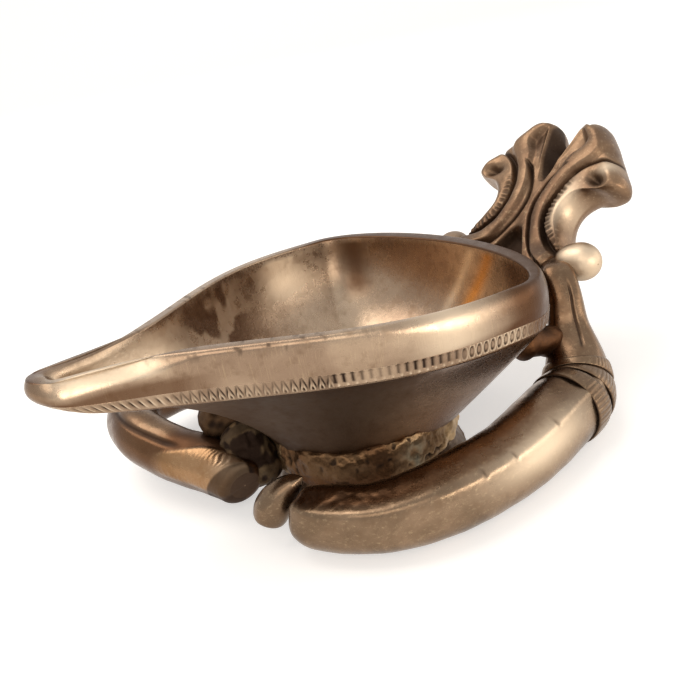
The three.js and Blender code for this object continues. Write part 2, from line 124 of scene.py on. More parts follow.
def floor_material():
    """Matt pale paper. Its own glow lifts it to white for the rays that look at it, and the
    matt part under the glow keeps the shadow."""
    made = bpy.data.materials.new("pale_floor")
    made.use_nodes = True
    tree = made.node_tree
    tree.nodes.clear()
    matt = add_node(tree, "ShaderNodeBsdfDiffuse", Color=linear("#E9E7E4"))
    glow = add_node(tree, "ShaderNodeEmission", Color=linear("#FFFFFF"), Strength=FLOOR_GLOW)
    both = add_node(tree, "ShaderNodeAddShader", _0=matt.outputs[0], _1=glow.outputs[0])
    mix = add_node(tree, "ShaderNodeMixShader", _0=white_background(tree),
                   _1=matt.outputs[0], _2=both.outputs[0])
    add_node(tree, "ShaderNodeOutputMaterial", Surface=mix.outputs[0])
    return made


FLOOR_REACH = 1.6
FLOOR_HALF_WIDTH = 2.2
FLOOR_DROP = 0.0002
FLOOR_GLOW = 0.5
BACKDROP_RADIUS = 0.5
BACKDROP_TOP = 1.8
VIEW_AHEAD = np.array([0.4964387, 0.7690656, -0.40259996])
VIEW_RIGHT = np.array([0.77938608, -0.59910389, -0.18338993])
VIEW_UP = np.array([0.38223808, 0.22273895, 0.89681738])
floor_way = VIEW_AHEAD[:2] / np.hypot(*VIEW_AHEAD[:2])
sweep = np.linspace(0, np.pi / 2, 12)
curve = np.stack([FLOOR_REACH - BACKDROP_RADIUS + BACKDROP_RADIUS * np.sin(sweep),
                  BACKDROP_RADIUS - BACKDROP_RADIUS * np.cos(sweep)], -1)
profile = np.vstack([[(-FLOOR_REACH, 0.0)], curve, [(FLOOR_REACH, BACKDROP_TOP)]])
across = np.array([floor_way[1], -floor_way[0]])
floor_grid = np.zeros((2, len(profile), 3))
for index, reach in enumerate((FLOOR_HALF_WIDTH, -FLOOR_HALF_WIDTH)):
    floor_grid[index, :, :2] = profile[:, :1] * floor_way + reach * across
    floor_grid[index, :, 2] = profile[:, 1] - FLOOR_DROP
room_floor = surface("room_floor", floor_grid, closed_across=False, poles=False)
room_floor.data.materials.append(floor_material())

ROOM_STRENGTH = 0.55
world = bpy.data.worlds.new("soft_room")
bpy.context.scene.world = world
world.use_nodes = True
world.node_tree.nodes.clear()
room_light = add_node(world.node_tree, "ShaderNodeBackground", Color=linear("#F4F2EF"),
                      Strength=ROOM_STRENGTH)
room_white = add_node(world.node_tree, "ShaderNodeBackground", Color=linear("#FFFFFF"),
                      Strength=1.0)
room_mix = add_node(world.node_tree, "ShaderNodeMixShader", _0=white_background(world.node_tree),
                    _1=room_light.outputs[0], _2=room_white.outputs[0])
add_node(world.node_tree, "ShaderNodeOutputWorld", Surface=room_mix.outputs[0])


def soft_lamp(name, place, size, power, colour):
    """A rectangular area lamp, its place, size and power given in metres and watts, that
    faces the bowl."""
    data = bpy.data.lights.new(name, "AREA")
    data.shape = "RECTANGLE"
    data.size, data.size_y = size
    data.energy = power
    data.color = linear(colour)[:3]
    made = bpy.data.objects.new(name, data)
    made.location = place
    made.rotation_euler = (LAMP_AIM - Vector(place)).to_track_quat("-Z", "Y").to_euler()
    bpy.context.collection.objects.link(made)


LAMP_AIM = Vector((0, 0, 0.03))
WINDOW_COLOUR = "#FFF4E6"
soft_lamp("low_window", (0.78, -0.56, 0.22), (0.9, 0.30), 1.2, WINDOW_COLOUR)
soft_lamp("side_window", (0.17, -0.86, 0.16), (0.52, 0.24), 2.0, WINDOW_COLOUR)
soft_lamp("front_window", (-0.52, -0.60, 0.58), (0.6, 0.45), 1.7, WINDOW_COLOUR)
soft_lamp("ceiling", (-0.25, 0.35, 1.1), (0.9, 0.9), 7.0, "#FFF8F0")

FOCAL_PIXELS = 875.2977673
PHOTO_WIDTH = 700
SENSOR_WIDTH = 36
NEAREST_SEEN = 0.01
CAMERA_PLACE = np.array([-97.691, -152.272, 107.423])
camera_data = bpy.data.cameras.new("photo_camera")
camera_data.sensor_width = SENSOR_WIDTH
camera_data.lens = SENSOR_WIDTH * FOCAL_PIXELS / PHOTO_WIDTH
camera_data.clip_start = NEAREST_SEEN
camera = bpy.data.objects.new("photo_camera", camera_data)
camera_axes = Matrix(np.column_stack([VIEW_RIGHT, VIEW_UP, -VIEW_AHEAD]).tolist())
camera_place = CAMERA_PLACE * MM + FOOT_CENTRE
camera.matrix_world = Matrix.Translation(camera_place.tolist()) @ camera_axes.to_4x4()
bpy.context.collection.objects.link(camera)
bpy.context.scene.camera = camera
bpy.context.scene.view_settings.view_transform = "Standard"

# Bowl: a leaf-shaped oil bowl of cast yellow brass, with an upright band under a rounded lip,
# brazed to the foot. Its hollow was ground smooth and has since stained, and carries painted
# highlights and a painted dark reflection; its band is buffed, with painted highlights and
# painted shade, and its belly is painted dark brown for the shade under the bowl.

RIM_LENGTH = 110.5
REAR_X = 41.8
WIDEST_X = 20.2
SPOUT_X = REAR_X - RIM_LENGTH
RIM_HALF_WIDTH = 37.0
SPOUT_HALF_WIDTH = 5.4
RIM_HEIGHT = 42.4
RIM_RISE = 0.09
BAND_HEIGHT = 10.8
BAND_TIP_HEIGHT = 7.6
PROW_LENGTH = 12.0
NECK_RADIUS = 19.6
NECK_HEIGHT = 7.9
HOLLOW_FLOOR = 11.4
FLANK_POWERS = (2.85, 3.65)
PROW_SHARPNESS = 9
BELLY_POWERS = (1.04, 0.74)
HOLLOW_POWERS = (2.3, 1.25)
LEAST_WALL = 1.6
WALL_EASE = 0.8
BAND_BULGE = 0.6
BORDER_LIFT = 0.2
BORDER_TOP = 0.70
# The band's rows behind the border, which lies in a shallow seat: the share of the band's
# depth and how far out the row stands.
BORDER_SEAT = 0.5
BORDER_ROWS = [(1.0, 0.0), (0.985, 0.0), (0.975, -BORDER_SEAT), (0.85, -BORDER_SEAT),
               (0.725, -BORDER_SEAT), (0.715, 0.0), (BORDER_TOP, 0.0)]
LIP_WIDTH = 2.9
LIP_ROLL_IN = 0.8
LIP_ROLL_DOWN = 1.1
LIP_INNER_ROUNDING = 0.45
SPOUT_LIP = (-52, -38)
SPOUT_CHAMFER = 1.4
NEAR_FLANK = (5, 25)
BELLY_ROWS = 39
LIP_ARC_END = 63
HOLLOW_START = 70


def placed(points):
    """Millimetres round the foot's centre on the ground to metres in the shared frame."""
    return points * MM + FOOT_CENTRE


def blend_step(value, start, end):
    """0 before start, 1 after end, and a smooth S between them."""
    share = np.clip((value - start) / (end - start), 0, 1)
    return share * share * (3 - 2 * share)


def hump(value, middle, width):
    """A smooth bump of height 1 at the middle that has nearly gone two widths away."""
    return np.exp(-((value - middle) / width) ** 2)


def bumps(points, size, seed):
    """Even, lumpy relief from about -1 to 1 over points in millimetres: twenty plane waves of
    about the given size, with seeded directions, lengths and phases, added up."""
    chance = np.random.default_rng(seed)
    ways = chance.normal(size=(20, 3))
    ways /= np.linalg.norm(ways, axis=1)[:, None]
    ways /= (size * chance.uniform(1.2, 3.2, 20))[:, None]
    return np.sin(points @ ways.T * 2 * np.pi + chance.uniform(0, 2 * np.pi, 20)).sum(-1) / 4.5


def rim_outline(columns):
    """Points spaced evenly round the rim from its rear end, seen from above: half an ellipse
    behind the widest place, two flanks that draw in to the spout by a power of their length,
    and a small round tip. Gives the points, the unit direction inwards at each, how far round
    each one is in millimetres, and the whole way round."""
    turn = np.linspace(0, np.pi / 2, 900)
    rear = np.stack([WIDEST_X + (REAR_X - WIDEST_X) * np.cos(turn), RIM_HALF_WIDTH * np.sin(turn)], -1)
    cap_x = SPOUT_X + SPOUT_HALF_WIDTH
    x = np.linspace(WIDEST_X, cap_x, 2400)
    share = (1 - ((WIDEST_X - x) / (WIDEST_X - SPOUT_X)) ** FLANK_POWERS[0]) ** FLANK_POWERS[1]
    width = SPOUT_HALF_WIDTH + (RIM_HALF_WIDTH - SPOUT_HALF_WIDTH) * share
    cap = np.stack([cap_x - SPOUT_HALF_WIDTH * np.sin(turn), width[-1] * np.cos(turn)], -1)
    half = np.vstack([rear, np.stack([x, width], -1)[1:], cap[1:]])
    whole = np.vstack([half, half[::-1][1:] * (1, -1)])
    length = np.concatenate([[0], np.cumsum(np.linalg.norm(np.diff(whole, axis=0), axis=1))])
    at = np.arange(columns) / columns * length[-1]
    points = np.stack([np.interp(at, length, whole[:, 0]), np.interp(at, length, whole[:, 1])], -1)
    along = np.roll(points, -2, 0) - np.roll(points, 2, 0)
    along /= np.linalg.norm(along, axis=1)[:, None]
    return points, np.stack([-along[:, 1], along[:, 0]], -1), at, length[-1]


def rim_measures(points):
    """For each rim point: its reach from the foot's axis, the rim's height there, the depth of
    the band, and how much it belongs to the spout's prow."""
    reach = np.linalg.norm(points, axis=1)
    prow = np.clip((WIDEST_X - points[:, 0]) / (WIDEST_X - SPOUT_X), 0, 1) ** PROW_SHARPNESS
    top = RIM_HEIGHT + RIM_RISE * (WIDEST_X - points[:, 0])
    depth = BAND_HEIGHT + (BAND_TIP_HEIGHT - BAND_HEIGHT) * prow
    return reach, top, depth, prow


def band_points(points, share, proud):
    """The band's face at a share of its depth, 0 at the rim: straight down with a slight
    bulge in the middle, drawn back under the spout in a quarter circle."""
    reach, top, depth, prow = rim_measures(points)
    out = points / reach[:, None]
    back = prow * PROW_LENGTH * (1 - np.sqrt(1 - share * share))
    face = points + out * (BAND_BULGE * np.sin(np.pi * share) - back + proud)[:, None]
    return np.column_stack([face, top - share * depth])


def border_level(prow, share):
    """The band's share that a share of the border falls on. Under the prow, where the face
    turns underneath, the border runs a little higher."""
    return share - BORDER_LIFT * prow * (share < 1)


def lip_shape(points):
    """The lip's width and how far its outer edge rolls over, sideways and down. It is wide at
    the rear and the spout and narrow on the near flank, where the hollow was ground out
    furthest; the edge is rubbed roundest at the spout and on the near flank."""
    x, y = points[:, 0], points[:, 1]
    near = hump(x, 8, 26) * blend_step(-y, *NEAR_FLANK)
    wear_and_highlight = hump(x, 14, 17) * blend_step(-y, *NEAR_FLANK)
    spout = 1 - blend_step(x, *SPOUT_LIP)
    tip = hump(x, SPOUT_X, 7)
    prow = rim_measures(points)[3]
    wide = LIP_WIDTH - 1.1 * spout + 2.6 * prow + 1.0 * blend_step(x, 24, 40) - 0.5 * near
    roll_in = LIP_ROLL_IN + (0.7 - 0.4 * tip) * spout + 1.1 * wear_and_highlight
    roll_down = LIP_ROLL_DOWN + 2.5 * spout + 5.6 * wear_and_highlight
    return wide, roll_in, roll_down


def bowl_grid(columns):
    """Rows from under the belly up over the band and the lip and down the hollow. Belly and
    hollow draw in towards the middle by one less their share of the depth to a power, all to
    the inverse of that power, which changes from the rear to the spout. The hollow keeps at
    least the wall's thickness inside the belly below it, with a soft least of the two."""
    points, inward, _, _ = rim_outline(columns)
    reach, top, depth, prow = rim_measures(points)
    out = points / reach[:, None]
    along = (REAR_X - points[:, 0]) / RIM_LENGTH
    power = BELLY_POWERS[0] + (BELLY_POWERS[1] - BELLY_POWERS[0]) * blend_step(along, 0.1, 0.55)
    start = reach - prow * PROW_LENGTH
    rows = []
    for share in 1 - np.linspace(0, 1, BELLY_ROWS + 1)[:-1] ** 1.15:
        away = (1 - share ** power) ** (1 / power)
        wide = NECK_RADIUS + (start - NECK_RADIUS) * away
        low = top - depth + (NECK_HEIGHT - top + depth) * share
        rows.append(np.column_stack([out * wide[:, None], low]))
    for share, proud in BORDER_ROWS:
        rows.append(band_points(points, border_level(prow, share), np.full(columns, proud)))
    wide, roll_in, roll_down = lip_shape(points)
    border_end = border_level(prow, BORDER_TOP)
    for share in np.linspace(0, 1, 8)[1:-1]:
        level = border_end + (roll_down / depth - border_end) * share
        rows.append(band_points(points, level, np.zeros(columns)))
    chamfer = 1 - blend_step(points[:, 0], *SPOUT_LIP)
    for turn in np.linspace(0, np.pi / 2, 13):
        ring = band_points(points, roll_down / depth * (1 - np.sin(turn)), np.zeros(columns))
        drawn_in = (1 - chamfer) * (1 - np.cos(turn)) + chamfer * np.sin(turn) ** SPOUT_CHAMFER
        ring[:, :2] += inward * (roll_in * drawn_in)[:, None]
        rows.append(ring)
    soft = LIP_INNER_ROUNDING + 2.2 * (1 - blend_step(points[:, 0], -60, -40))
    for turn in np.linspace(0, np.pi / 2, 6):
        offset = wide - soft * (1 - np.sin(turn))
        rows.append(np.column_stack([points + inward * offset[:, None],
                                     top - LIP_INNER_ROUNDING * (1 - np.cos(turn))]))
    inner = points + inward * wide[:, None]
    inner_reach = np.linalg.norm(inner, axis=1)
    inner_turn, rim_turn = np.arctan2(inner[:, 1], inner[:, 0]), np.arctan2(points[:, 1], points[:, 0])
    shell_start, shell_power, shell_top, shell_depth, shell_prow = (
        np.interp(inner_turn, rim_turn, value, period=2 * np.pi)
        for value in (start, power, top - depth, depth, prow * PROW_LENGTH))
    hollow = HOLLOW_POWERS[0] + (HOLLOW_POWERS[1] - HOLLOW_POWERS[0]) * along
    for share in np.linspace(0, 1, 50)[1:-1] ** 0.8:
        away = (1 - share ** hollow) ** (1 / hollow)
        low = top - LIP_INNER_ROUNDING + (HOLLOW_FLOOR - top + LIP_INNER_ROUNDING) * share
        sunk = np.clip((shell_top - low) / (shell_top - NECK_HEIGHT), 0, 1)
        drawn = (1 - sunk ** shell_power) ** (1 / shell_power)
        shell = NECK_RADIUS + (shell_start - NECK_RADIUS) * drawn
        shell = shell + shell_prow * np.clip((low - shell_top) / shell_depth, 0, 1) - LEAST_WALL
        free = inner_reach * away
        kept = 0.5 * (free + shell - np.hypot(free - shell, WALL_EASE))
        rows.append(np.column_stack([inner * (kept / inner_reach)[:, None], low]))
    return np.stack(rows)


# Sizes of the brass's own patterns in millimetres: clouds of tarnish, freckles of corrosion and
# the casting's grain, which is drawn three times coarser than it is so that it shows.
CLOUD_SIZE = 17
FRECKLE_SIZE = 2.4
GRAIN_SIZE = 1.1
CREVICE_REACH = 2.2
FRECKLE_BROWN = "#6F5742"
RUBBED_GOLD = "#CDB48F"
# Brown for stains and for painted shade.
STAIN_AND_SHADE_BROWN = "#573A25"
SCORCHED_ORANGE = "#B9803F"
# Pale cream of the painted highlights.
HIGHLIGHT_CREAM = "#EBD5B8"
# Dark brown for dirt and for painted shade in recesses and crevices.
DIRT_AND_SHADE_BROWN = "#2A1B11"


def aged_brass(name, light, dark, roughness, streaks, streak_depth, lumps, burnt=SCORCHED_ORANGE):
    """Cast yellow brass gone dull and brown, never lacquered. Cloudy patches between a light
    and a dark tone, small freckles, streaks of the three sizes given in millimetres, then the
    piece's own attributes: stains and painted shade in brown, burnt, painted highlight, and dirt
    and painted shade in its recesses, with painted shade from ambient occlusion in its crevices.
    Bump comes from the grain and the streaks, to depths in millimetres. The eye reads soft metal
    that is bright where a highlight is painted."""
    made = bpy.data.materials.new(name)
    made.use_nodes = True
    tree = made.node_tree
    shader = tree.nodes["Principled BSDF"]
    place = add_node(tree, "ShaderNodeTexCoord").outputs["Object"]
    cloud = add_node(tree, "ShaderNodeTexNoise", None, Vector=place, Scale=1 / (CLOUD_SIZE * MM),
                     Detail=4.0, Roughness=0.55, Distortion=0.6)
    freckle = add_node(tree, "ShaderNodeTexNoise", None, Vector=place, Scale=1 / (FRECKLE_SIZE * MM),
                       Detail=3.0, Roughness=0.6)
    grain = add_node(tree, "ShaderNodeTexNoise", None, Vector=place, Scale=1 / (GRAIN_SIZE * MM),
                     Detail=4.0, Roughness=0.6)
    scale = [1 / (size * MM) for size in streaks]
    stretch = add_node(tree, "ShaderNodeMapping", None, Vector=place, Scale=scale)
    streak = add_node(tree, "ShaderNodeTexNoise", None, Vector=stretch.outputs[0], Scale=1.0,
                      Detail=3.0, Roughness=0.7)
    recess, stain_and_shade, heated, painted_highlight = (
        add_node(tree, "ShaderNodeAttribute", {"attribute_name": kept}).outputs["Fac"]
        for kept in ("recess", "stain_and_shade", "burnt", "painted_highlight"))
    cloud_share = add_node(tree, "ShaderNodeMapRange", {"interpolation_type": "SMOOTHSTEP"},
                           Value=cloud.outputs["Fac"], From_Min=0.36, From_Max=0.64)
    freckle_share = add_node(tree, "ShaderNodeMapRange", {"interpolation_type": "SMOOTHSTEP"},
                             Value=freckle.outputs["Fac"], From_Min=0.5, From_Max=0.75, To_Max=0.45)
    streak_share = add_node(tree, "ShaderNodeMapRange", None, Value=streak.outputs["Fac"],
                            From_Min=0.55, From_Max=0.75, To_Max=0.28)
    # Painted shade: ambient occlusion darkens crevices and corners towards the dark brown.
    corner = add_node(tree, "ShaderNodeAmbientOcclusion", {"samples": 6}, Distance=CREVICE_REACH * MM)
    crevice = add_node(tree, "ShaderNodeMapRange", None, Value=corner.outputs["AO"],
                       From_Min=0.55, From_Max=0.15, To_Max=0.7)
    dirt_and_shade = add_node(tree, "ShaderNodeMath", {"operation": "MAXIMUM"}, _0=recess, _1=crevice.outputs[0])
    tone = add_node(tree, "ShaderNodeMix", {"data_type": "RGBA"}, _0=cloud_share.outputs[0],
                    _6=linear(dark), _7=linear(light))
    # Mixed over the tone in turn: freckles, rubbed streaks, stains with painted shade, burns, painted
    # highlights, and dirt with painted shade.
    for share, colour in ((freckle_share.outputs[0], FRECKLE_BROWN),
                          (streak_share.outputs[0], RUBBED_GOLD), (stain_and_shade, STAIN_AND_SHADE_BROWN),
                          (heated, burnt), (painted_highlight, HIGHLIGHT_CREAM), (dirt_and_shade.outputs[0], DIRT_AND_SHADE_BROWN)):
        tone = add_node(tree, "ShaderNodeMix", {"data_type": "RGBA"}, _0=share, _6=tone.outputs[2],
                        _7=linear(colour))
    dull = add_node(tree, "ShaderNodeMapRange", None, Value=freckle.outputs["Fac"], From_Min=0.3,
                    From_Max=0.8, To_Min=roughness - 0.05, To_Max=roughness + 0.12)
    rough = add_node(tree, "ShaderNodeMath", {"operation": "MULTIPLY_ADD", "use_clamp": True},
                     _0=dirt_and_shade.outputs[0], _1=0.3, _2=dull.outputs[0])
    rough = add_node(tree, "ShaderNodeMath", {"operation": "MULTIPLY_ADD", "use_clamp": True},
                     _0=painted_highlight, _1=0.14, _2=rough.outputs[0])
    metal = add_node(tree, "ShaderNodeMapRange", None, Value=dirt_and_shade.outputs[0], To_Min=1.0, To_Max=0.8)
    relief = add_node(tree, "ShaderNodeBump", None, Height=grain.outputs["Fac"], Distance=lumps * MM)
    relief = add_node(tree, "ShaderNodeBump", None, Height=streak.outputs["Fac"],
                      Distance=streak_depth * MM, Normal=relief.outputs[0])
    for socket, output in (("Base Color", tone.outputs[2]), ("Roughness", rough.outputs[0]),
                           ("Metallic", metal.outputs[0]), ("Normal", relief.outputs[0])):
        tree.links.new(output, shader.inputs[socket])
    return made


def mark(piece, name, values):
    """Keeps one number per point of a grid on its mesh, for the material to read."""
    layer = piece.data.attributes.new(name, "FLOAT", "POINT")
    full = np.zeros(len(piece.data.vertices), np.float32)
    full[:values.size] = values.ravel()
    layer.data.foreach_set("value", full)


# Cast brass buffed by hand: soft upright wipe lines, drawn coarser than a cloth leaves them,
# and a broad, warm gleam.
bowl_brass = aged_brass("buffed_cast_brass", "#A68F78", "#8E7763", 0.24, (0.3125, 0.3125, 11.11),
                        0.03, 0.03)

BLOTCH_FROM = (-31.5, -28)
BLOTCH_TO = (-13, -3)
RUN_ANGLE = 48.5
HIGHLIGHT_ANGLE = 80
SCORCH_ANGLE = -11
SCORCH_SLANT = 0.75
SCORCH_HEIGHT = 34
SHADED_REAR_X = (8, 19)


def bowl_tarnish(points):
    """How much stain and painted shade, burn, painted highlight, and dark flecks with painted
    shade each point has, 0 to 1. The belly is painted dark brown for the shade under the bowl,
    darker downwards, towards the spout and near the foot. The band has painted highlights over
    the spout and on the near flank and painted shade at its rear and its lower edge; its lip at
    the spout and its tip are darker, and dark flecks sit near its top. The hollow has blotches on
    its spout half, a painted dark reflection and a painted highlight on its far wall, and beside
    a painted pale line a slanting orange streak at the rear, from the heat of brazing the crest."""
    x, y, z = points[..., 0], points[..., 1], points[..., 2]
    row = np.arange(points.shape[0])[:, None] + 0 * x
    outside, inside = row < BELLY_ROWS, row > HOLLOW_START
    band = (row >= BELLY_ROWS) * (row < HOLLOW_START)
    angle = np.degrees(np.arctan2(y, x))
    below = RIM_HEIGHT + RIM_RISE * (WIDEST_X - x) - z

    # Painted shade: the belly is dark brown, darker downwards, towards the spout and near the foot.
    belly_shade = outside * (0.62 + 0.32 * blend_step(-z, -26, -12)) * (0.9 + 0.1 * bumps(points, 9, 81))
    belly_deep_shade = outside * (0.9 * blend_step(-x, -2, 16) + 0.3 * hump(z, 10, 4))

    # Painted shade: the band darkens at its rear, low on its middle and low on the spout; the lip at
    # the spout and the tip are darker, and the flecks near the top are dark spots.
    band_shade = band * (0.95 * blend_step(x, *SHADED_REAR_X)
                        + 0.4 * blend_step(below, 5.5, 7.5) * blend_step(x, -30, -5)
                        + 0.75 * blend_step(below, 3.6, 5.0) * (1 - blend_step(x, -46, -36)))
    lip_darker = 0.45 * (row > LIP_ARC_END) * band * (1 - blend_step(x, -46, -38))
    tip_darker = 0.55 * (row >= BELLY_ROWS) * (1 - blend_step(x, -66, -62))
    flecks = (1 - blend_step(below, 0.6, 2.4)) * hump(x, -30, 16)
    flecks = flecks * blend_step(bumps(points * (1, 1, 0.5), 1.0, 85), 0.75, 1.2)
    band_flecks_and_shade = band * (0.8 * flecks + 0.3 * blend_step(x, 12, 24))
    # Painted highlights on the spout's upper band and on the near flank.
    spout_highlight = 0.75 * band * (1 - blend_step(below, 2.6, 3.8)) * blend_step(x, -68, -60)
    spout_highlight = spout_highlight * (1 - blend_step(x, -50, -44)) * blend_step(-y, -4, 1)
    flank_highlight = 0.6 * band * blend_step(-y, 0, 6) * hump(x, 1, 8) * blend_step(z, 35, 37.5)

    blotch = blend_step(bumps(points, 7, 82) + 0.6 * bumps(points, 3, 83), -0.1, 0.5)
    spout_half = inside * blend_step(x, *BLOTCH_FROM) * (1 - blend_step(x, *BLOTCH_TO))
    # Painted dark reflection: a dark upright run on the far wall.
    run = inside * hump(angle, RUN_ANGLE, 6) * blend_step(z, 25, 30)
    rear = 0.45 * inside * hump(angle, 18, 17) * blend_step(z, 22, 32)
    corner = 0.7 * inside * hump(angle, -30, 9) * blend_step(z, 30, 37)
    slanted = angle + SCORCH_SLANT * (z - SCORCH_HEIGHT)
    upper = blend_step(z, 20, 27)
    streak = inside * hump(slanted, SCORCH_ANGLE, 3.3) * upper
    # Painted highlights in the hollow: a patch on the far wall, a faint wide one, the spout end, and a
    # pale line beside the orange streak.
    hollow_highlight = inside * (hump(angle, HIGHLIGHT_ANGLE, 11) * blend_step(z, 30, 37)
                      + 0.12 * hump(angle, HIGHLIGHT_ANGLE - 18, 14)
                      + 0.45 * (1 - blend_step(x, -34, -27))
                      + 0.35 * hump(slanted, SCORCH_ANGLE + 10, 2.2) * upper)

    stain_and_shade = belly_shade + 0.6 * spout_half * blotch + run + rear + corner + band_shade + lip_darker + tip_darker
    burnt = 0.85 * streak + 0.16 * outside
    # Painted highlight also lies between the blotches on the spout half.
    painted_highlight = spout_highlight + flank_highlight + hollow_highlight + 0.3 * spout_half * (1 - blotch)
    # Dark flecks together with the painted shade of the belly and band and the painted dark reflection.
    flecks_and_shade = belly_deep_shade + band_flecks_and_shade + 0.4 * run
    return [np.clip(share, 0, 1) for share in (stain_and_shade, burnt, painted_highlight, flecks_and_shade)]


BOWL_COLUMNS = 780
bowl_points = bowl_grid(BOWL_COLUMNS)
bowl = surface("oil_bowl", placed(bowl_points))
bowl_stain_and_shade, bowl_heat, bowl_highlight, bowl_flecks_and_shade = bowl_tarnish(bowl_points)
mark(bowl, "stain_and_shade", bowl_stain_and_shade)
mark(bowl, "burnt", bowl_heat)
mark(bowl, "painted_highlight", bowl_highlight)
mark(bowl, "recess", 0.8 * bowl_flecks_and_shade)
bowl.data.materials.append(bowl_brass)
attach(bowl, "root")
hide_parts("bowl")

# Punched border: a strip of small chisel marks struck along the lower edge of the band, all
# the way round. Slanting dashes at the spout turn into chevrons, comb teeth and small curls.
# It is the bowl's own brass, with dirt in the marks, a painted highlight on the burrs and painted shade
# towards the rear.

BORDER_BOTTOM = 0.985
MARK_PITCH = 1.72
MARK_DEPTH = 0.24
BURR_HEIGHT = 0.11
STRIP_PROUD = 0.03
STRIP_THICKNESS = 0.3
DASHES_END = (-47, -44)
CHEVRONS_END = (-23, -20)
COMB_END = (1, 4)
MARKS_FADE = (16, 21)


def struck_marks(x, along, up):
    """How deep the punches went, 0 to 1, and where their raised burrs stand, over millimetres
    along the border and its share of height. The place along the bowl picks the pattern."""
    step = (along / MARK_PITCH) % 1 - 0.5
    slant = (along / MARK_PITCH + 0.45 * up) % 1 - 0.5
    dash = hump(slant, 0, 0.17) * hump(up, 0.52, 0.26)
    pair = np.abs(step)
    chevron = hump(pair, 0.08 + 0.42 * np.clip(up - 0.1, 0, 1), 0.11) * hump(up, 0.5, 0.42)
    dot = hump(step, 0.5, 0.12) + hump(step, -0.5, 0.12)
    chevron = np.maximum(chevron, dot * hump(up, 0.12, 0.13))
    comb = hump(step, 0, 0.2) * blend_step(up, 0.22, 0.34) * (1 - blend_step(up, 0.9, 1.0))
    comb = np.maximum(comb, hump(up, 0.86, 0.08) * (0.5 + 0.5 * np.cos(2 * np.pi * step)))
    ring = np.hypot(step * 1.5, (up - 0.5) * 1.25)
    curl = hump(ring, 0.4, 0.13) * (1 - hump(step, 0.35, 0.18))
    spout = 1 - blend_step(x, *DASHES_END)
    stem = blend_step(x, *DASHES_END) * (1 - blend_step(x, *CHEVRONS_END))
    rear = blend_step(x, *COMB_END)
    middle = blend_step(x, *CHEVRONS_END) * (1 - rear)
    deep = spout * dash + stem * chevron + middle * comb + rear * curl
    burr = (spout * hump(slant, 0.3, 0.14) * hump(up, 0.45, 0.3)
            + stem * hump(pair, 0.3, 0.1) * hump(up, 0.3, 0.25)
            + middle * hump(step, 0.33, 0.14) * hump(up, 0.1, 0.13) + rear * hump(ring, 0.62, 0.1))
    return deep, burr


def border_grid(columns, rows):
    """The strip's face, lifted by a hair from the band and sunk at each mark, then back under
    itself to a plain inner side. Also gives the marks for the dark that sits in them, and
    their raised burrs, where a highlight is painted. The marks wear away towards the rear."""
    points, _, at, length = rim_outline(columns)
    up = np.linspace(0, 1, rows)
    x, along = np.broadcast_to(points[:, 0], (rows, columns)), np.broadcast_to(at, (rows, columns))
    rounds = np.round(length / MARK_PITCH) * MARK_PITCH / length
    deep, burr = struck_marks(x, along * rounds, np.broadcast_to(up[:, None], (rows, columns)))
    worn = 0.75 + 0.25 * bumps(np.column_stack([at, at * 0, at * 0]), 6, 5)
    worn = np.clip(worn, 0, 1.2) * (1 - 0.85 * blend_step(points[:, 0], *MARKS_FADE))
    edge = np.minimum(blend_step(up, 0, 0.06), 1 - blend_step(up, 0.94, 1))
    face = STRIP_PROUD + (BURR_HEIGHT * burr - MARK_DEPTH * deep * worn) * edge[:, None]
    prow = rim_measures(points)[3]
    levels = BORDER_BOTTOM + (BORDER_TOP - BORDER_BOTTOM) * up
    front = [band_points(points, border_level(prow, level), face[index])
             for index, level in enumerate(levels)]
    back = [band_points(points, border_level(prow, share), np.full(columns, -STRIP_THICKNESS))
            for share in (BORDER_TOP, BORDER_BOTTOM)]
    recess = np.vstack([deep * worn * edge[:, None], np.zeros((2, columns))])
    burr_highlight_share = np.vstack([burr * worn * edge[:, None], np.zeros((2, columns))])
    return np.stack(front + back), np.clip(1.15 * recess, 0, 1), np.clip(0.6 * burr_highlight_share, 0, 1)


border_points, border_recess, border_burr_highlight = border_grid(2600, 26)
border = surface("punched_border", placed(border_points), closed_along=True, poles=False)
mark(border, "recess", border_recess)
# Painted highlight on the burrs.
mark(border, "painted_highlight", border_burr_highlight)
# Painted shade: the border darkens towards the rear, like the band.
border_rear_shade = np.broadcast_to(0.9 * blend_step(border_points[..., 0], 13, 24), border_recess.shape)
mark(border, "stain_and_shade", border_rear_shade)
border.data.materials.append(bowl_brass)
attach(border, "root")

# Foot: a low flared ring cast in brass, open below, that the bowl stands on. Its outside is
# turned and rubbed, its inside left as it came from the sand.

FOOT_HEIGHT = 7.6
FOOT_BASE_RADIUS = 23.4
FOOT_WALL = 4.0
FOOT_PLATE = 3.0
FOOT_PLATE_HOLE = 6.0
FLARE_POWER = 1.6


def round_rows(profile, columns):
    """Turns radius and height pairs about the foot's axis, one row of columns per pair."""
    turn = np.arange(columns) / columns * 2 * np.pi
    radius, height = profile[:, :1], profile[:, 1:]
    return np.stack([radius * np.cos(turn), radius * np.sin(turn), height + 0 * turn], -1)


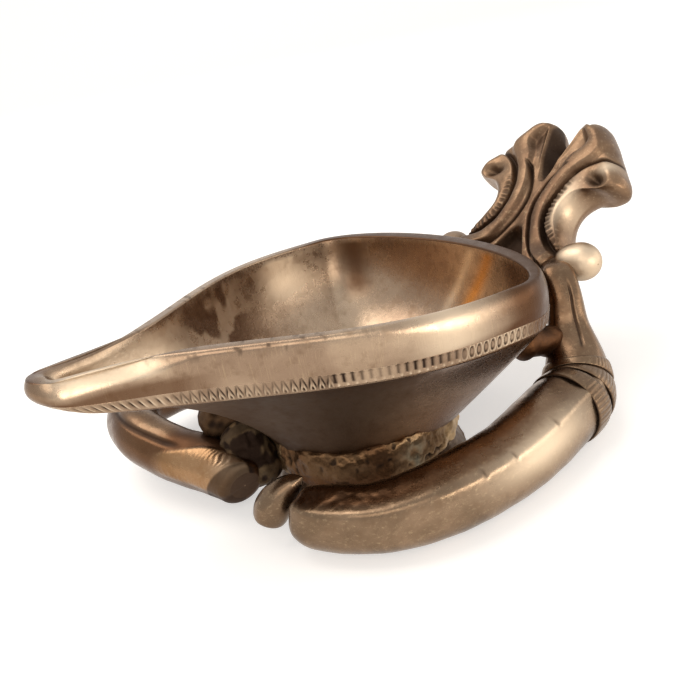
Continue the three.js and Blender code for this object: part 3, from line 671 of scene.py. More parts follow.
def foot_profile():
    """From the hollow's ceiling down its inner wall, round the bottom edge, up the flare that
    widens by a power of how far down it is, and in under the bowl."""
    up = np.linspace(0.06, 1, 26)
    flare = NECK_RADIUS + (FOOT_BASE_RADIUS - NECK_RADIUS) * (1 - up) ** FLARE_POWER
    turn = np.linspace(0, np.pi, 9)
    edge = np.stack([FOOT_BASE_RADIUS - 0.75 - 0.55 * np.cos(turn), 0.5 - 0.5 * np.sin(turn)], -1)
    ceiling = FOOT_HEIGHT - FOOT_PLATE
    inside = np.array([[FOOT_PLATE_HOLE, ceiling], [NECK_RADIUS - FOOT_WALL - 0.8, ceiling],
                       [NECK_RADIUS - FOOT_WALL, ceiling - 0.8], [FOOT_BASE_RADIUS - FOOT_WALL, 0.6],
                       [FOOT_BASE_RADIUS - FOOT_WALL + 0.6, 0.05]])
    return np.vstack([inside, edge[2:], np.stack([flare, FOOT_HEIGHT * up], -1),
                      [[NECK_RADIUS - 1, FOOT_HEIGHT], [FOOT_PLATE_HOLE, FOOT_HEIGHT]]])


foot_points = round_rows(foot_profile(), 300)
foot_away = foot_points * (1, 1, 0)
foot_away /= np.linalg.norm(foot_away, axis=-1, keepdims=True)
foot_lumps = bumps(foot_points, 2.2, 11) * 0.10 + bumps(foot_points, 7, 12) * 0.12
foot_points = foot_points + foot_away * (foot_lumps * (foot_points[..., 2] > 0.4))[..., None]
foot = surface("foot_ring", placed(foot_points))
# Cast brass turned on a lathe and since gone dark: fine level lines on a dull brown skin.
foot_brass = aged_brass("turned_foot_brass", "#6E5642", "#4C3A2B", 0.36, (3.333, 3.333, 0.4167),
                        0.03, 0.06)
foot.data.materials.append(foot_brass)
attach(foot, "root")
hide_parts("foot")

# Foot braze: hard solder run into the corner between the foot and the belly, never cleaned
# up. It is lumpy, scaled brown, cracked on the near side and green where flux was left.

BRAZE_MIDDLE = np.array([20.3, 9.8])
BRAZE_HALF = np.array([2.1, 4.5])
BRAZE_CORNER = 0.55
BRAZE_SHRINK = 0.25
CRACK_HEIGHT = 7.4
CRACK_DEPTH = 0.6
PIT_DEPTH = 0.35


def braze_ring(columns, rows):
    """A ring whose section is a rounded box, swollen by lumps of three sizes on its outer
    side, pitted all over, with one crack along the near side. Also gives how dark, stained
    and green it is: browner in front and at the far side, green in one place."""
    turn = np.arange(rows) / rows * 2 * np.pi
    box = np.stack([np.sign(np.cos(turn)) * np.abs(np.cos(turn)) ** BRAZE_CORNER,
                    np.sign(np.sin(turn)) * np.abs(np.sin(turn)) ** BRAZE_CORNER], -1)
    grid = round_rows(BRAZE_MIDDLE + BRAZE_HALF * box, columns)
    away = grid - np.append(grid[..., :2] / np.linalg.norm(grid[..., :2], axis=-1, keepdims=True)
                            * BRAZE_MIDDLE[0], np.full(grid.shape[:2] + (1,), BRAZE_MIDDLE[1]), -1)
    away /= np.linalg.norm(away, axis=-1, keepdims=True)
    lumps = 0.34 * bumps(grid, 3.4, 21) + 0.2 * bumps(grid, 1.5, 22) + 0.07 * bumps(grid, 0.7, 23)
    angle = np.degrees(np.arctan2(grid[..., 1], grid[..., 0]))
    line = CRACK_HEIGHT + 0.045 * (angle + 80) + 0.35 * np.sin(angle * 0.9)
    crack = hump(grid[..., 2], line, 0.32) * blend_step(angle, -93, -89)
    crack *= 1 - blend_step(angle, -78, -74)
    pits = blend_step(bumps(grid, 1.1, 24), 0.75, 1.5)
    lumps = lumps * blend_step(np.cos(turn), -0.3, 0.1)[:, None]
    shape = grid + away * (lumps - CRACK_DEPTH * crack - PIT_DEPTH * pits - BRAZE_SHRINK)[..., None]
    dark = np.clip(crack + 0.8 * pits + 0.15 * blend_step(-lumps, 0.1, 0.5), 0, 1)
    stain_and_shade = (0.9 * blend_step(-angle, 96, 116) + 0.55 * blend_step(angle, -40, 10)
             + 0.1 * blend_step(-grid[..., 2], -9, -6))
    green = hump(angle, -97, 6) * hump(grid[..., 2], 9.2, 2.6) * blend_step(lumps, -0.5, 0.2)
    return shape, dark, stain_and_shade, green


braze_points, braze_recess, braze_stain, braze_green = braze_ring(900, 72)
foot_braze = surface("foot_braze_run", placed(braze_points), closed_along=True, poles=False)
mark(foot_braze, "recess", braze_recess)
mark(foot_braze, "stain_and_shade", np.clip(braze_stain - 0.8 * braze_green, 0, 1))
mark(foot_braze, "burnt", 0.75 * braze_green)
FLUX_GREEN = "#9DAFA2"
# Brazing brass left as it froze, under scale and traces of flux: lumpy, dull, yellow to brown.
solder_brass = aged_brass("scaled_hard_solder", "#DDBD8E", "#9A7B59", 0.42, (1.111, 1.111, 1.111),
                          0.08, 0.15, FLUX_GREEN)
foot_braze.data.materials.append(solder_brass)
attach(foot_braze, "root")
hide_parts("foot_braze")

# Limbs: two tapering bars of cast brass that lie round the foot, bend up at the rear and run
# into the crest as its ribbons. They are filed by hand, so their sides are soft facets.

CREST_LEAN = np.radians(42.7)
CREST_BASE = np.array([46.5, 0.0, 30.0])
CREST_AXES = np.array([[0, 1, 0], [np.cos(CREST_LEAN), 0, np.sin(CREST_LEAN)],
                       [np.sin(CREST_LEAN), 0, -np.cos(CREST_LEAN)]])
BEND_CHORD = 9.0
NEAR_ARM = [[209.5, 6.6, 5, 4], [217, 6, 6.4, 2], [236, 7.4, 6.9, 1.3], [259, 6.5, 7.8, 0.5],
            [281, 7.3, 8.1, 0.2], [298.2, 9.7, 8.5, 0.1], [310, 13.2, 8.5, 0.1],
            [317.6, 17.4, 8.2, 0.5], [322, 18.9, 7.9, 1.9]]
FAR_ARM = [[175, 2.6, 5.3, 1.5], [160.6, 4.6, 6.5, 2.7], [147.5, 15, 6.4, 5.2],
           [139.4, 23.4, 6.3, 7.7], [125.6, 30.6, 6.3, 7.2], [112, 28, 6.8, 6],
           [94.3, 22.3, 7.4, 3.2], [73.7, 18.6, 7.9, 1.2], [56.6, 17.6, 8.2, 0.3],
           [44, 18.2, 8.2, 0.4], [38, 18.9, 7.9, 1.9]]
LEG_HEAD = (19.2, 3.0, 0.9)
LEG_SHARES = [[0.35, 0.26, 0.2], [0.66, 0.59, 0.52], [0.85, 0.77, 0.83], [1, 1, 1]]
LEG_RADII = [6.8, 4.8, 4.0, 3.9]
RIBBON_STOPS = [[16.4, 4.9, 2.2, 3.4], [13.2, 6.8, 3.4, 2.9], [10.0, 9.0, 4.2, 2.2]]


def in_crest(sideways, up, back):
    """A point of the crest's leaning plane: sideways, up the lean and back from its front."""
    parts = np.stack(np.broadcast_arrays(sideways, up, back), -1)
    return CREST_BASE + parts @ CREST_AXES


def arm_stops(plan):
    """Angle, gap to the foot, radius and lift of each stop to its x, y, z and radius."""
    angle, gap, radius, lift = np.array(plan, float).T
    reach = FOOT_BASE_RADIUS + gap + radius
    turn = np.radians(angle)
    return np.stack([reach * np.cos(turn), reach * np.sin(turn), radius + lift, radius], -1)


def limb_stops(plan, side):
    """An arm's stops, then the leg's between the elbow and the crest, then three that sink into
    the crest's ribbon."""
    arm = arm_stops(plan)
    elbow, head = arm[-1, :3], in_crest(side * LEG_HEAD[0], *LEG_HEAD[1:])
    leg = np.column_stack([elbow + (head - elbow) * np.array(LEG_SHARES), LEG_RADII])
    ribbon = [np.append(in_crest(side * sideways, up, back), radius)
              for sideways, up, back, radius in RIBBON_STOPS]
    return np.vstack([arm, leg, ribbon])


CURVE_STEPS = 120


def smooth_path(stops, steps):
    """A centripetal Catmull-Rom curve through the stops, their radius carried along with them,
    in even steps. Gives places and radii, millimetres from the start, and each stop's own."""
    ends = np.vstack([2 * stops[0] - stops[1], stops, 2 * stops[-1] - stops[-2]])
    p0, p1, p2, p3 = ends[:-3], ends[1:-2], ends[2:-1], ends[3:]
    knot = np.sqrt(np.linalg.norm(np.diff(ends[:, :3], axis=0), axis=1))[:, None]
    d0, d1, d2 = knot[:-2], knot[1:-1], knot[2:]
    t1 = ((p1 - p0) / d0 - (p2 - p0) / (d0 + d1) + (p2 - p1) / d1) * d1
    t2 = ((p2 - p1) / d1 - (p3 - p1) / (d1 + d2) + (p3 - p2) / d2) * d1
    t = (np.arange(CURVE_STEPS) / CURVE_STEPS)[None, :, None]
    p1, p2, t1, t2 = (part[:, None, :] for part in (p1, p2, t1, t2))
    bend = -3 * p1 + 3 * p2 - 2 * t1 - t2
    curve = p1 + t1 * t + bend * t ** 2 + (2 * p1 - 2 * p2 + t1 + t2) * t ** 3
    curve = np.vstack([curve.reshape(-1, 4), stops[-1]])
    length = np.concatenate([[0], np.cumsum(np.linalg.norm(np.diff(curve[:, :3], axis=0), axis=1))])
    at = np.linspace(0, length[-1], steps)
    path = np.stack([np.interp(at, length, curve[:, i]) for i in range(4)], -1)
    return path, at, length[::CURVE_STEPS]


def path_frame(path, at):
    """For each step the way ahead along a chord, the direction nearest to upright across it,
    and the third one, to the right of the way ahead."""
    def place(distance):
        return np.stack([np.interp(distance, at, path[:, i]) for i in range(3)], -1)
    ahead = place(np.minimum(at + BEND_CHORD / 2, at[-1])) - place(np.maximum(at - BEND_CHORD / 2, 0))
    ahead /= np.linalg.norm(ahead, axis=1)[:, None]
    up = np.array([0, 0, 1]) - ahead * ahead[:, 2:]
    up /= np.linalg.norm(up, axis=1)[:, None]
    return ahead, up, np.cross(ahead, up)


def ring_points(path, frame_at, radius, turn):
    """Rings round the path: the centre plus radius times the upright part of the turn and the
    sideways part of it. Radius holds a row per step and a column per turn."""
    _, up, right = frame_at
    return (path[:, None, :3] + (radius * np.cos(turn))[..., None] * up[:, None]
            + (radius * np.sin(turn))[..., None] * right[:, None])


# Cast brass filed and rubbed smooth by hands: faint file marks and a soft, uneven gleam.
limb_brass = aged_brass("filed_cast_brass", "#8F7760", "#705C49", 0.27, (1.111, 1.111, 0.625),
                        0.03, 0.04)
LIMB_SIDES = 112
LEG_FLATNESS = 0.78
FLAT_SHARPNESS = 8.0
SLANT_TURN = np.radians(-95)
SLANT_REACH = 9
FACE_ROWS = 9
limb_turn = np.arange(LIMB_SIDES) / LIMB_SIDES * 2 * np.pi


def wrapped(degrees):
    """Degrees brought between -180 and 180."""
    return (degrees + 180) % 360 - 180


def turn_hump(turn, middle, width):
    """A bump round the bar at an angle in degrees, which wraps round."""
    return hump(wrapped(np.degrees(turn) - middle), 0, width)


def limb_shape(name, plan, side, steps, carve, slant=0.0, end_rounding=1.8):
    """Sweeps a limb. carve gives how far the skin moves out, in millimetres, and how dark,
    stained or shaded, highlighted and golden it is, from the millimetres along, the turn and
    the elbow's place. The leg's front is flattened by a soft least of the circle and a plane.
    The front end is rounded over, cut back by slant on one side, and closed by a flat face,
    which is painted dark for shade."""
    path, at, stops_at = smooth_path(limb_stops(plan, side), steps)
    frame_at = path_frame(path, at)
    elbow = stops_at[len(plan) - 1]
    along, turn = at[:, None] + 0 * limb_turn, limb_turn + 0 * at[:, None]
    moved, dark, stain_and_shade, painted_highlight, burnt = carve(along, turn, elbow)
    flat = path[:, 3:] * LEG_FLATNESS / np.maximum(np.cos(limb_turn), 0.2)
    soft = (path[:, 3:] ** -FLAT_SHARPNESS + flat ** -FLAT_SHARPNESS) ** (-1 / FLAT_SHARPNESS)
    radius = path[:, 3:] + (soft - path[:, 3:]) * blend_step(at, elbow + 3, elbow + 12)[:, None] + moved
    inset = np.clip(end_rounding - at, 0, end_rounding)
    radius = radius - (end_rounding - np.sqrt(end_rounding ** 2 - inset ** 2))[:, None]
    body = ring_points(path, frame_at, radius, limb_turn)
    near_end = np.clip(1 - at / SLANT_REACH, 0, 1)[:, None]
    cut_back = slant * (0.5 + 0.5 * np.cos(limb_turn - SLANT_TURN)) * near_end
    body = body + cut_back[..., None] * frame_at[0][:, None]
    middle = body[0].mean(0)
    face = middle + (body[0] - middle) * np.linspace(0.08, 0.93, FACE_ROWS)[:, None, None]
    grid = np.vstack([face, body])
    piece = surface(name, placed(grid))
    # Painted shade: the flat end face is marked dark and stained.
    for kept, on_face, on_body in (("recess", 0.6, dark), ("stain_and_shade", 0.7, stain_and_shade),
                                   ("painted_highlight", 0.0, painted_highlight), ("burnt", 0.0, burnt)):
        mark(piece, kept, np.vstack([np.full((FACE_ROWS, LIMB_SIDES), on_face), on_body]))
    piece.data.materials.append(limb_brass)
    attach(piece, "root")
    return piece, (path, at, frame_at, elbow)


LEG_LINE_TURN = 12
LEG_LINE_BOW = 9
LINE_DEPTH = 0.4
RIDGE_TURN = 49
NICK_PLACES = (37, 44.5, 57)
NICK_DEPTH = 0.3
GROOVE_TURN = -32
GROOVE_DEPTH = 0.55


def leg_line(at, turn, elbow, side):
    """One engraved line down the front of the leg, bowed away from the bowl halfway up."""
    leg = blend_step(at, elbow + 7, elbow + 9) * (1 - blend_step(at, elbow + 22, elbow + 25))
    line = LEG_LINE_TURN + LEG_LINE_BOW * hump(at - elbow, 15, 7)
    return leg * turn_hump(turn, -side * line, 4.5)


def near_carve(at, turn, elbow):
    """A soft ridge above the outer side with a flat on each side of it, nicked by the file, a
    rough dark top at the front end, slight file waves and the leg's engraved line. Painted shade
    darkens the top and the side towards the bowl, most at the front end, and one side of the
    leg; a painted highlight lies on the outer side near the elbow."""
    arm = 1 - blend_step(at, elbow - 8, elbow + 2)
    from_ridge = np.degrees(turn) - RIDGE_TURN + 6 * (1 - blend_step(at, 0, 8))
    past_ridge = np.radians(from_ridge)
    ridge = 0.5 * turn_hump(past_ridge, 0, 12) - 0.45 * turn_hump(past_ridge, -30, 20)
    ridge -= 0.35 * turn_hump(past_ridge, 33, 24)
    waves = 0.03 * np.sin(at * 0.9 + 2 * np.sin(turn * 2)) + 0.08 * np.sin(at * 0.23 + turn)
    nick = sum(hump(at, place, 0.5) for place in NICK_PLACES) * turn_hump(turn, RIDGE_TURN - 2, 7)
    top = (1 - blend_step(at, 12, 26)) * hump(from_ridge, -38, 32) * blend_step(at, 0.5, 2)
    rough = top * blend_step(bumps(np.stack([at, 7 * turn, 0 * at], -1), 1.3, 45), -0.6, 0.9)
    engraved = leg_line(at, turn, elbow, -1)
    moved = arm * ridge + waves * (arm + 0.3 * (1 - arm))
    moved = moved - LINE_DEPTH * engraved - NICK_DEPTH * nick - 0.12 * rough
    wrap = wrapped(np.degrees(turn))
    upper = blend_step(wrap, -150, -110) * (1 - blend_step(wrap, 26, 40))
    # Painted shade: the top and the side towards the bowl are darker, most at the front end, and the
    # leg darker on one side.
    stain_and_shade = arm * upper * (0.35 + 0.5 * (1 - blend_step(at, 16, 44)))
    stain_and_shade = stain_and_shade + (1 - arm) * (0.25 + 0.5 * turn_hump(turn, -70, 45))
    # Painted highlight on the outer side near the elbow.
    arm_highlight = hump(at, 52, 12) * turn_hump(turn, 66, 26) * 0.85
    dark = np.clip(0.9 * engraved + 0.5 * nick + 0.35 * rough, 0, 1)
    return moved, dark, np.clip(stain_and_shade, 0, 1), arm_highlight, 0 * at


def far_carve(at, turn, elbow):
    """A groove down the outer shoulder where the limb bends round, a brushed golden patch at
    the front end with painted shade on the crown over it, file waves and the leg's engraved line.
    The limb is painted darker than the near one for its shade, lighter on its upper inner face,
    with a painted dark end and a painted highlight on the front of the patch."""
    wrap = wrapped(np.degrees(turn))
    groove = turn_hump(turn, GROOVE_TURN, 6) * blend_step(at, 16, 22) * (1 - blend_step(at, 40, 48))
    edge = -42 + (19.3 - at) * 3.4
    gold = blend_step(edge - wrap, 0, 9) * blend_step(wrap, -112, -92) * (1 - blend_step(at, 19, 25))
    brushed = gold * np.sin(at * 5.4 + 2.6 * np.sin(turn * 7 + at)) * 0.025
    crown = (1 - blend_step(at, 17, 24)) * (1 - gold) * blend_step(wrap, -60, -20)
    inner = blend_step(wrap, -30, -20) * (1 - blend_step(wrap, 50, 80)) * blend_step(at, 20, 26)
    waves = 0.03 * np.sin(at * 0.8 + 2 * np.sin(turn * 2)) + 0.08 * np.sin(at * 0.21 + turn)
    engraved = leg_line(at, turn, elbow, 1)
    # Painted shade: the whole limb darker, more on the crown, and lighter on its upper inner face.
    stain_and_shade = 0.84 - 0.74 * gold + 0.25 * crown - 0.4 * inner * (1 - blend_step(at, 44, 60))
    # Painted shade on the slanted front end.
    end = 1 - blend_step(at - 1.3 - (6 - wrap) * 0.046, -0.2, 0.5)
    dark = 0.9 * engraved + 0.85 * groove + 0.35 * crown + 0.75 * end
    moved = waves + brushed + 0.35 * gold - GROOVE_DEPTH * groove - LINE_DEPTH * engraved
    # Painted highlight on the front of the golden patch.
    arm_highlight = 0.5 * gold * hump(at, 3, 3.5) * hump(wrap, 0, 40)
    return moved, np.clip(dark, 0, 1), np.clip(stain_and_shade, 0, 1), arm_highlight, 0.24 * gold


FAR_SLANT = 1.6
near_limb, near_line = limb_shape("near_limb", NEAR_ARM, -1, 620, near_carve)
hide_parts("near_arm", "near_leg")
far_limb, far_line = limb_shape("far_limb", FAR_ARM, 1, 700, far_carve, FAR_SLANT)
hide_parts("far_arm", "far_leg")

# Elbow bands: three raised rings cast round each elbow in the limb's own brass, nicked with a
# file so that they look like bound wire. They get narrower towards the leg, and the ground has
# worn them flat underneath.

BAND_PLACES = [-7.6, -1.9, 3.0]
BAND_HALVES = [2.4, 2.3, 1.9]
BAND_PROUD = 0.55
BAND_SUNK = 0.9
BAND_SQUARENESS = 0.35
BAND_CUTS = 22
BAND_CUT_DEPTH = 0.4
BAND_WORN = 0.04
BAND_STAIN = 0.12


def elbow_band(name, line, index, side):
    """A closed, flat-crowned section carried once round the limb at its place past the elbow,
    with small file cuts that notch its outer side."""
    path, at, (_, up_at, right_at), elbow = line
    section = np.linspace(0, 2 * np.pi, 24, endpoint=False)[:, None]
    turn = (np.arange(260) / 260 * 2 * np.pi)[None]
    place = elbow + BAND_PLACES[index] - BAND_HALVES[index] * np.cos(section) + 0 * turn
    wave = np.sin(section)
    proud = np.where(wave > 0, BAND_PROUD * np.abs(wave) ** BAND_SQUARENESS, BAND_SUNK * wave)
    spots = np.stack([np.interp(place, at, path[:, i]) for i in range(4)], -1)
    up, right = (np.stack([np.interp(place, at, part[:, i]) for i in range(3)], -1)
                 for part in (up_at, right_at))
    notch = hump((turn * BAND_CUTS / np.pi) % 1, 0.5, 0.14) * hump(-side * np.degrees(turn), 75, 40)
    radius = spots[..., 3] + proud * (1 - BAND_CUT_DEPTH * notch)
    grid = (spots[..., :3] + (radius * np.cos(turn))[..., None] * up
            + (radius * np.sin(turn))[..., None] * right)
    grid[..., 2] = np.maximum(grid[..., 2], BAND_WORN)
    piece = surface(name, placed(grid), closed_along=True, poles=False)
    mark(piece, "recess", np.clip(1.1 - proud / 0.4, 0, 1) + 0.3 * notch)
    mark(piece, "stain_and_shade", np.full(radius.shape, BAND_STAIN))
    piece.data.materials.append(limb_brass)
    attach(piece, "root")
    return piece


for side_name, line, side in (("near", near_line, -1), ("far", far_line, 1)):
    for index in range(3):
        band = elbow_band(f"{side_name}_bound_ring_{index + 1}", line, index, side)
        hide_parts(f"{side_name}_elbow_band_{index + 1}")

# Crest: a thick forked head of cast brass behind the bowl, leaning back from it. Two ribbons
# run up its front beside a sunk middle, with comb-cut grooves outside them, curled tips and a
# ball at each foot. A block under it joins it to the bowl.

CREST_STAR = np.array([0.0, 24.0])
CREST_FRONT = 0.9
CREST_BACK = 10.0
TOOTH_PITCH = 1.5
EDGE_ROUNDNESS = 3.6
EDGE_DEPTH = 6.2
SIDE_DRAW = 2.6
GAP_BOTTOM = 27
CREST_EDGE = [[0, 37.3], [1.6, 39.6], [3.4, 42.6], [5.4, 44.8], [7.9, 45.5], [10.4, 44.6],
              [13.6, 41.6], [17.4, 37.2], [20.8, 33.2], [23.0, 30.4], [23.4, 28.5], [21.2, 26.9],
              [17.2, 26.2], [14.8, 24.3], [13.2, 21.6], [12.7, 18.6], [13.2, 15.8], [14.6, 12.6],
              [16.2, 9], [16.4, 4.5], [15.2, 0], [12.4, -4.4], [7, -6], [0, -6]]
RIBBON_LINE = [[19.0, 3.8], [15.8, 5.4], [13.2, 6.8], [10.6, 8.5], [8.5, 10.6], [6.6, 13.6],
               [5.3, 17.0], [4.6, 20.4], [4.9, 24.6], [6.3, 29.0], [8.6, 33.2], [11.2, 36.8],
               [11.6, 40.0], [9.8, 42.4]]
COMB_LINE = [[20.6, 6.0], [17.6, 7.2], [15.0, 8.5], [12.3, 10.3], [9.9, 12.4], [8.0, 15.0],
             [7.0, 18.0], [6.9, 21.0], [7.4, 24.2], [8.7, 27.8], [10.8, 31.0], [13.6, 33.2],
             [16.6, 34.5], [19.4, 34.6]]
INNER_LINE = [[12.6, 4.2], [9.6, 6.2], [7.0, 8.4], [4.9, 11.0], [3.3, 14.0], [1.9, 17.6],
              [1.4, 21.5], [2.4, 26.0], [4.5, 30.0], [6.1, 32.0]]


def smooth_line(stops, steps):
    """A plane curve through the stops in even steps."""
    flat = np.column_stack([np.array(stops, float), np.zeros(len(stops)), np.zeros(len(stops))])
    return smooth_path(flat, steps)[0][:, :2]


def beside(points, line):
    """Distance of each point to the nearest of a line's points, which side of it the point
    lies on, and how far along the line that is in millimetres."""
    flat = points.reshape(-1, 2)
    away = flat[:, None, :] - line[None]
    nearest = (away ** 2).sum(-1).argmin(1)
    tangent = np.gradient(line, axis=0)
    tangent /= np.linalg.norm(tangent, axis=1)[:, None]
    offset = away[np.arange(len(flat)), nearest]
    side = tangent[nearest, 0] * offset[:, 1] - tangent[nearest, 1] * offset[:, 0]
    spacing = np.linalg.norm(line[1] - line[0])
    along = nearest * spacing + (offset * tangent[nearest]).sum(-1)
    straight = np.linalg.norm(offset, axis=1)
    distance = np.where(np.abs(side) > straight * 0.5, np.abs(side), straight)
    shape = points.shape[:-1]
    return distance.reshape(shape), side.reshape(shape), along.reshape(shape)


def crest_relief(points):
    """How far back the crest's front lies at each point, how dark it is and where a highlight is
    painted. Ribbons stand up in round ridges, grooves follow them, the middle sinks, a V is cut
    between the tops, with painted shade on its walls and in the crease under each tip, and a
    painted highlight lies on the near side's flank and corner. Both halves are alike:
    a is the distance from the middle line and t the height up the lean."""
    half = np.stack([np.abs(points[..., 0]), points[..., 1]], -1)
    a, t = half[..., 0], half[..., 1]
    to_ribbon = beside(half, smooth_line(RIBBON_LINE, 160))[0]
    to_comb, comb_side, comb_along = beside(half, smooth_line(COMB_LINE, 160))
    to_inner = beside(half, smooth_line(INNER_LINE, 120))[0]
    wide = 1.9 + 1.0 * (1 - blend_step(t, 4, 13)) + 1.4 * blend_step(t, 29, 36)
    ribbon = 1 - blend_step(to_ribbon / wide, 0.55, 1.15)
    crown = np.clip(1 - (to_ribbon / wide) ** 2, 0, 1)
    comb = hump(to_comb, 0, 0.5)
    inner = hump(to_inner, 0, 0.42) * (1 - blend_step(t, 31, 33))
    outside = blend_step(-comb_side, 0.2, 0.9)
    wander = comb_along + 0.25 * np.sin(comb_along * 1.7)
    tooth = (0.5 + 0.5 * np.cos(wander * 2 * np.pi / TOOTH_PITCH)) * outside
    tooth *= (1 - blend_step(to_comb, 1.4, 2.8)) * blend_step(comb_along, 3, 6)
    tooth *= 1 - blend_step(comb_along, 27, 31)
    roll = outside * hump(a - 0.05 * (t - 20), 10.2, 3.2) * hump(t, 17, 11)
    middle = (1 - ribbon) * (1 - outside) * (1 - blend_step(t, 30, 34))
    hollow = (1 - blend_step(a + 0.55 * (t - 6), 4.2, 6.0)) * (1 - blend_step(t, 11, 15))
    half_gap = np.clip(1.2 + (t - GAP_BOTTOM) * 0.25, 0.8, 6)
    valley = np.clip((t - GAP_BOTTOM) * 0.85, 0, 8.5) * np.clip(1 - a / half_gap, 0, 1)
    lobe = blend_step(t, 31, 35) * (1 - ribbon) * (1 - outside) * blend_step(a / half_gap, 0.9, 1.3)
    dimple = hump(np.hypot((a - 7.6) * 1.2, (t - 38.3) * 0.75), 0, 1.9)
    tip = hump(np.hypot(a - 20.2, t - 31.0), 0, 2.6)
    crease = hump(np.hypot((a - 16.6) * 0.6, t - 28.9 + 0.2 * (a - 16)), 0, 1.25)
    back = (CREST_FRONT - 0.55 * ribbon - 0.35 * crown + 1.2 * comb + 1.1 * inner + 0.5 * middle
            + 3.2 * hollow + valley + 0.45 * lobe + 0.6 * dimple - 0.9 * roll + 0.4 * tooth - 0.8 * tip
            + 2.2 * crease - 2.3 * ribbon * (1 - blend_step(t, 4, 11)))
    # Dark: dirt in the comb, inner grooves, teeth and dimple, the hollow at the foot darkened, and
    # painted shade on the V's walls and in the crease under the tip.
    dark = np.clip(0.95 * comb + 0.95 * inner + 0.9 * hollow + 0.6 * tooth
                   + 0.85 * blend_step(valley, 0.3, 1.2) + 0.4 * dimple + 0.8 * crease, 0, 1)
    # Painted highlight on the near side's flank and corner.
    flank = outside * hump(np.hypot(a - 11.2, (t - 21.5) * 0.45), 0, 2.6)
    corner = hump(np.hypot(a - 18.4, t - 32.2), 0, 2.0)
    wear_and_highlight = (points[..., 0] < 0) * np.clip(0.55 * flank + 0.7 * corner, 0, 1)
    return back, dark, wear_and_highlight


def crest_grid(columns, rows):
    """Rays from a middle point out to the crest's edge. The front follows the relief and
    rounds over towards the edge, the side draws in on its way back, and the back is nearly
    flat and closes at the middle. Slight bumps all over are left from the casting."""
    right = smooth_line(CREST_EDGE, columns // 2 + 1)
    edge = np.vstack([right, right[::-1][1:-1] * (-1, 1)])
    ray = edge - CREST_STAR
    reach = np.linalg.norm(ray, axis=1)
    out = np.concatenate([np.linspace(0, 0.72, rows // 2, endpoint=False)[1:],
                          np.linspace(0.72, 1, rows - rows // 2)])
    front = CREST_STAR + ray * out[:, None, None]
    inset = reach * (1 - out[:, None])
    back, dark, wear_and_highlight = crest_relief(front)
    fall = np.clip(1 - inset / EDGE_ROUNDNESS, 0, 1)
    front_depth = back + np.maximum(EDGE_DEPTH - back, 0.8) * (1 - np.sqrt(1 - fall ** 2.2))
    turn = np.linspace(0, np.pi / 2, 9)[1:]
    edge_depth = front_depth[-1]
    side_in = SIDE_DRAW * (1 - np.cos(turn))
    side = CREST_STAR + ray * (1 - side_in[:, None] / reach)[..., None]
    side_depth = edge_depth + (CREST_BACK - edge_depth) * np.sin(turn)[:, None]
    inward = np.linspace(1, 0.05, 16)[1:, None]
    rear = CREST_STAR + (side[-1] - CREST_STAR) * inward[..., None]
    rear_depth = side_depth[-1] + 0.5 * hump(inward, 0.5, 0.3) + 0 * rear[..., 0]
    plane = np.concatenate([front, side, rear])
    depth = np.concatenate([front_depth, side_depth, rear_depth])
    unmarked = np.zeros(side_depth.shape), np.zeros(rear_depth.shape)
    shade, painted_highlight = np.concatenate([dark, *unmarked]), np.concatenate([wear_and_highlight, *unmarked])
    grid = in_crest(plane[..., 0], plane[..., 1], depth)
    grid = grid + 0.09 * bumps(grid, 3.5, 41)[..., None] * CREST_AXES[2]
    return grid, shade, painted_highlight


crest_points, crest_dark, crest_highlight = crest_grid(640, 124)
crest = surface("forked_crest", placed(crest_points))
mark(crest, "recess", crest_dark)
mark(crest, "painted_highlight", crest_highlight)
# Cast brass cut with chisels and punches: duller than the limbs, with dirt held in every cut and
# painted shade in the V between the tops and under the tips.
crest_brass = aged_brass("chased_crest_brass", "#836952", "#624B3A", 0.34, (0.8333, 0.8333, 0.8333),
                         0.03, 0.05)
crest.data.materials.append(crest_brass)
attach(crest, "root")


KNOB_RADIUS = 4.6
KNOB_PLACE = (21.0, 8.9, 4.6)
FAR_KNOB_DROP = 2.6
KNOB_TAPER = np.array([-0.80, -0.32, -0.50])
KNOB_DRAWN = 0.42
# The way the balls' painted highlight faces.
KNOB_HIGHLIGHT_WAY = np.array([-0.62, -0.72, 0.3])


def knob_grid(side, drop):
    """A cast ball drawn out like an egg towards the foot of the ribbon, with a faint
    unevenness: its radius grows with the cube of how far a point faces that way."""
    rise = np.linspace(0.06, np.pi - 0.06, 60)
    turn = np.arange(110) / 110 * 2 * np.pi
    ball = np.stack([np.cos(rise)[:, None] + 0 * turn, -np.sin(rise)[:, None] * np.cos(turn),
                     np.sin(rise)[:, None] * np.sin(turn)], -1)
    towards = np.clip(ball @ KNOB_TAPER, 0, 1)
    uneven = 0.1 * bumps(ball * KNOB_RADIUS, 4, 51)
    ball *= (KNOB_RADIUS * (1 + KNOB_DRAWN * towards ** 3) + uneven)[..., None]
    sideways, up, back = KNOB_PLACE
    return in_crest(side * (sideways + ball[..., 0]), up - drop + ball[..., 1], back + ball[..., 2])


for side_name, side, drop in (("near", -1, 0.0), ("far", 1, FAR_KNOB_DROP)):
    grid = knob_grid(side, drop)
    knob = surface(f"{side_name}_crest_ball", placed(grid if side < 0 else grid[:, ::-1]))
    # Painted highlight: the near ball is lightened on its side towards the front lamps, the far ball
    # barely.
    wear_and_highlight = blend_step(((grid - grid.mean((0, 1))) @ KNOB_HIGHLIGHT_WAY), -1.5, 3.5)
    mark(knob, "painted_highlight", 0.66 * wear_and_highlight if side < 0 else 0.1 * wear_and_highlight[:, ::-1])
    knob.data.materials.append(crest_brass)
    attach(knob, "root")

ROOT_HALF = (12.6, 4.8)
ROOT_UP = -1.0
ROOT_FRONT = -6.4
ROOT_LENGTH = 15
ROOT_CORNER = 0.4


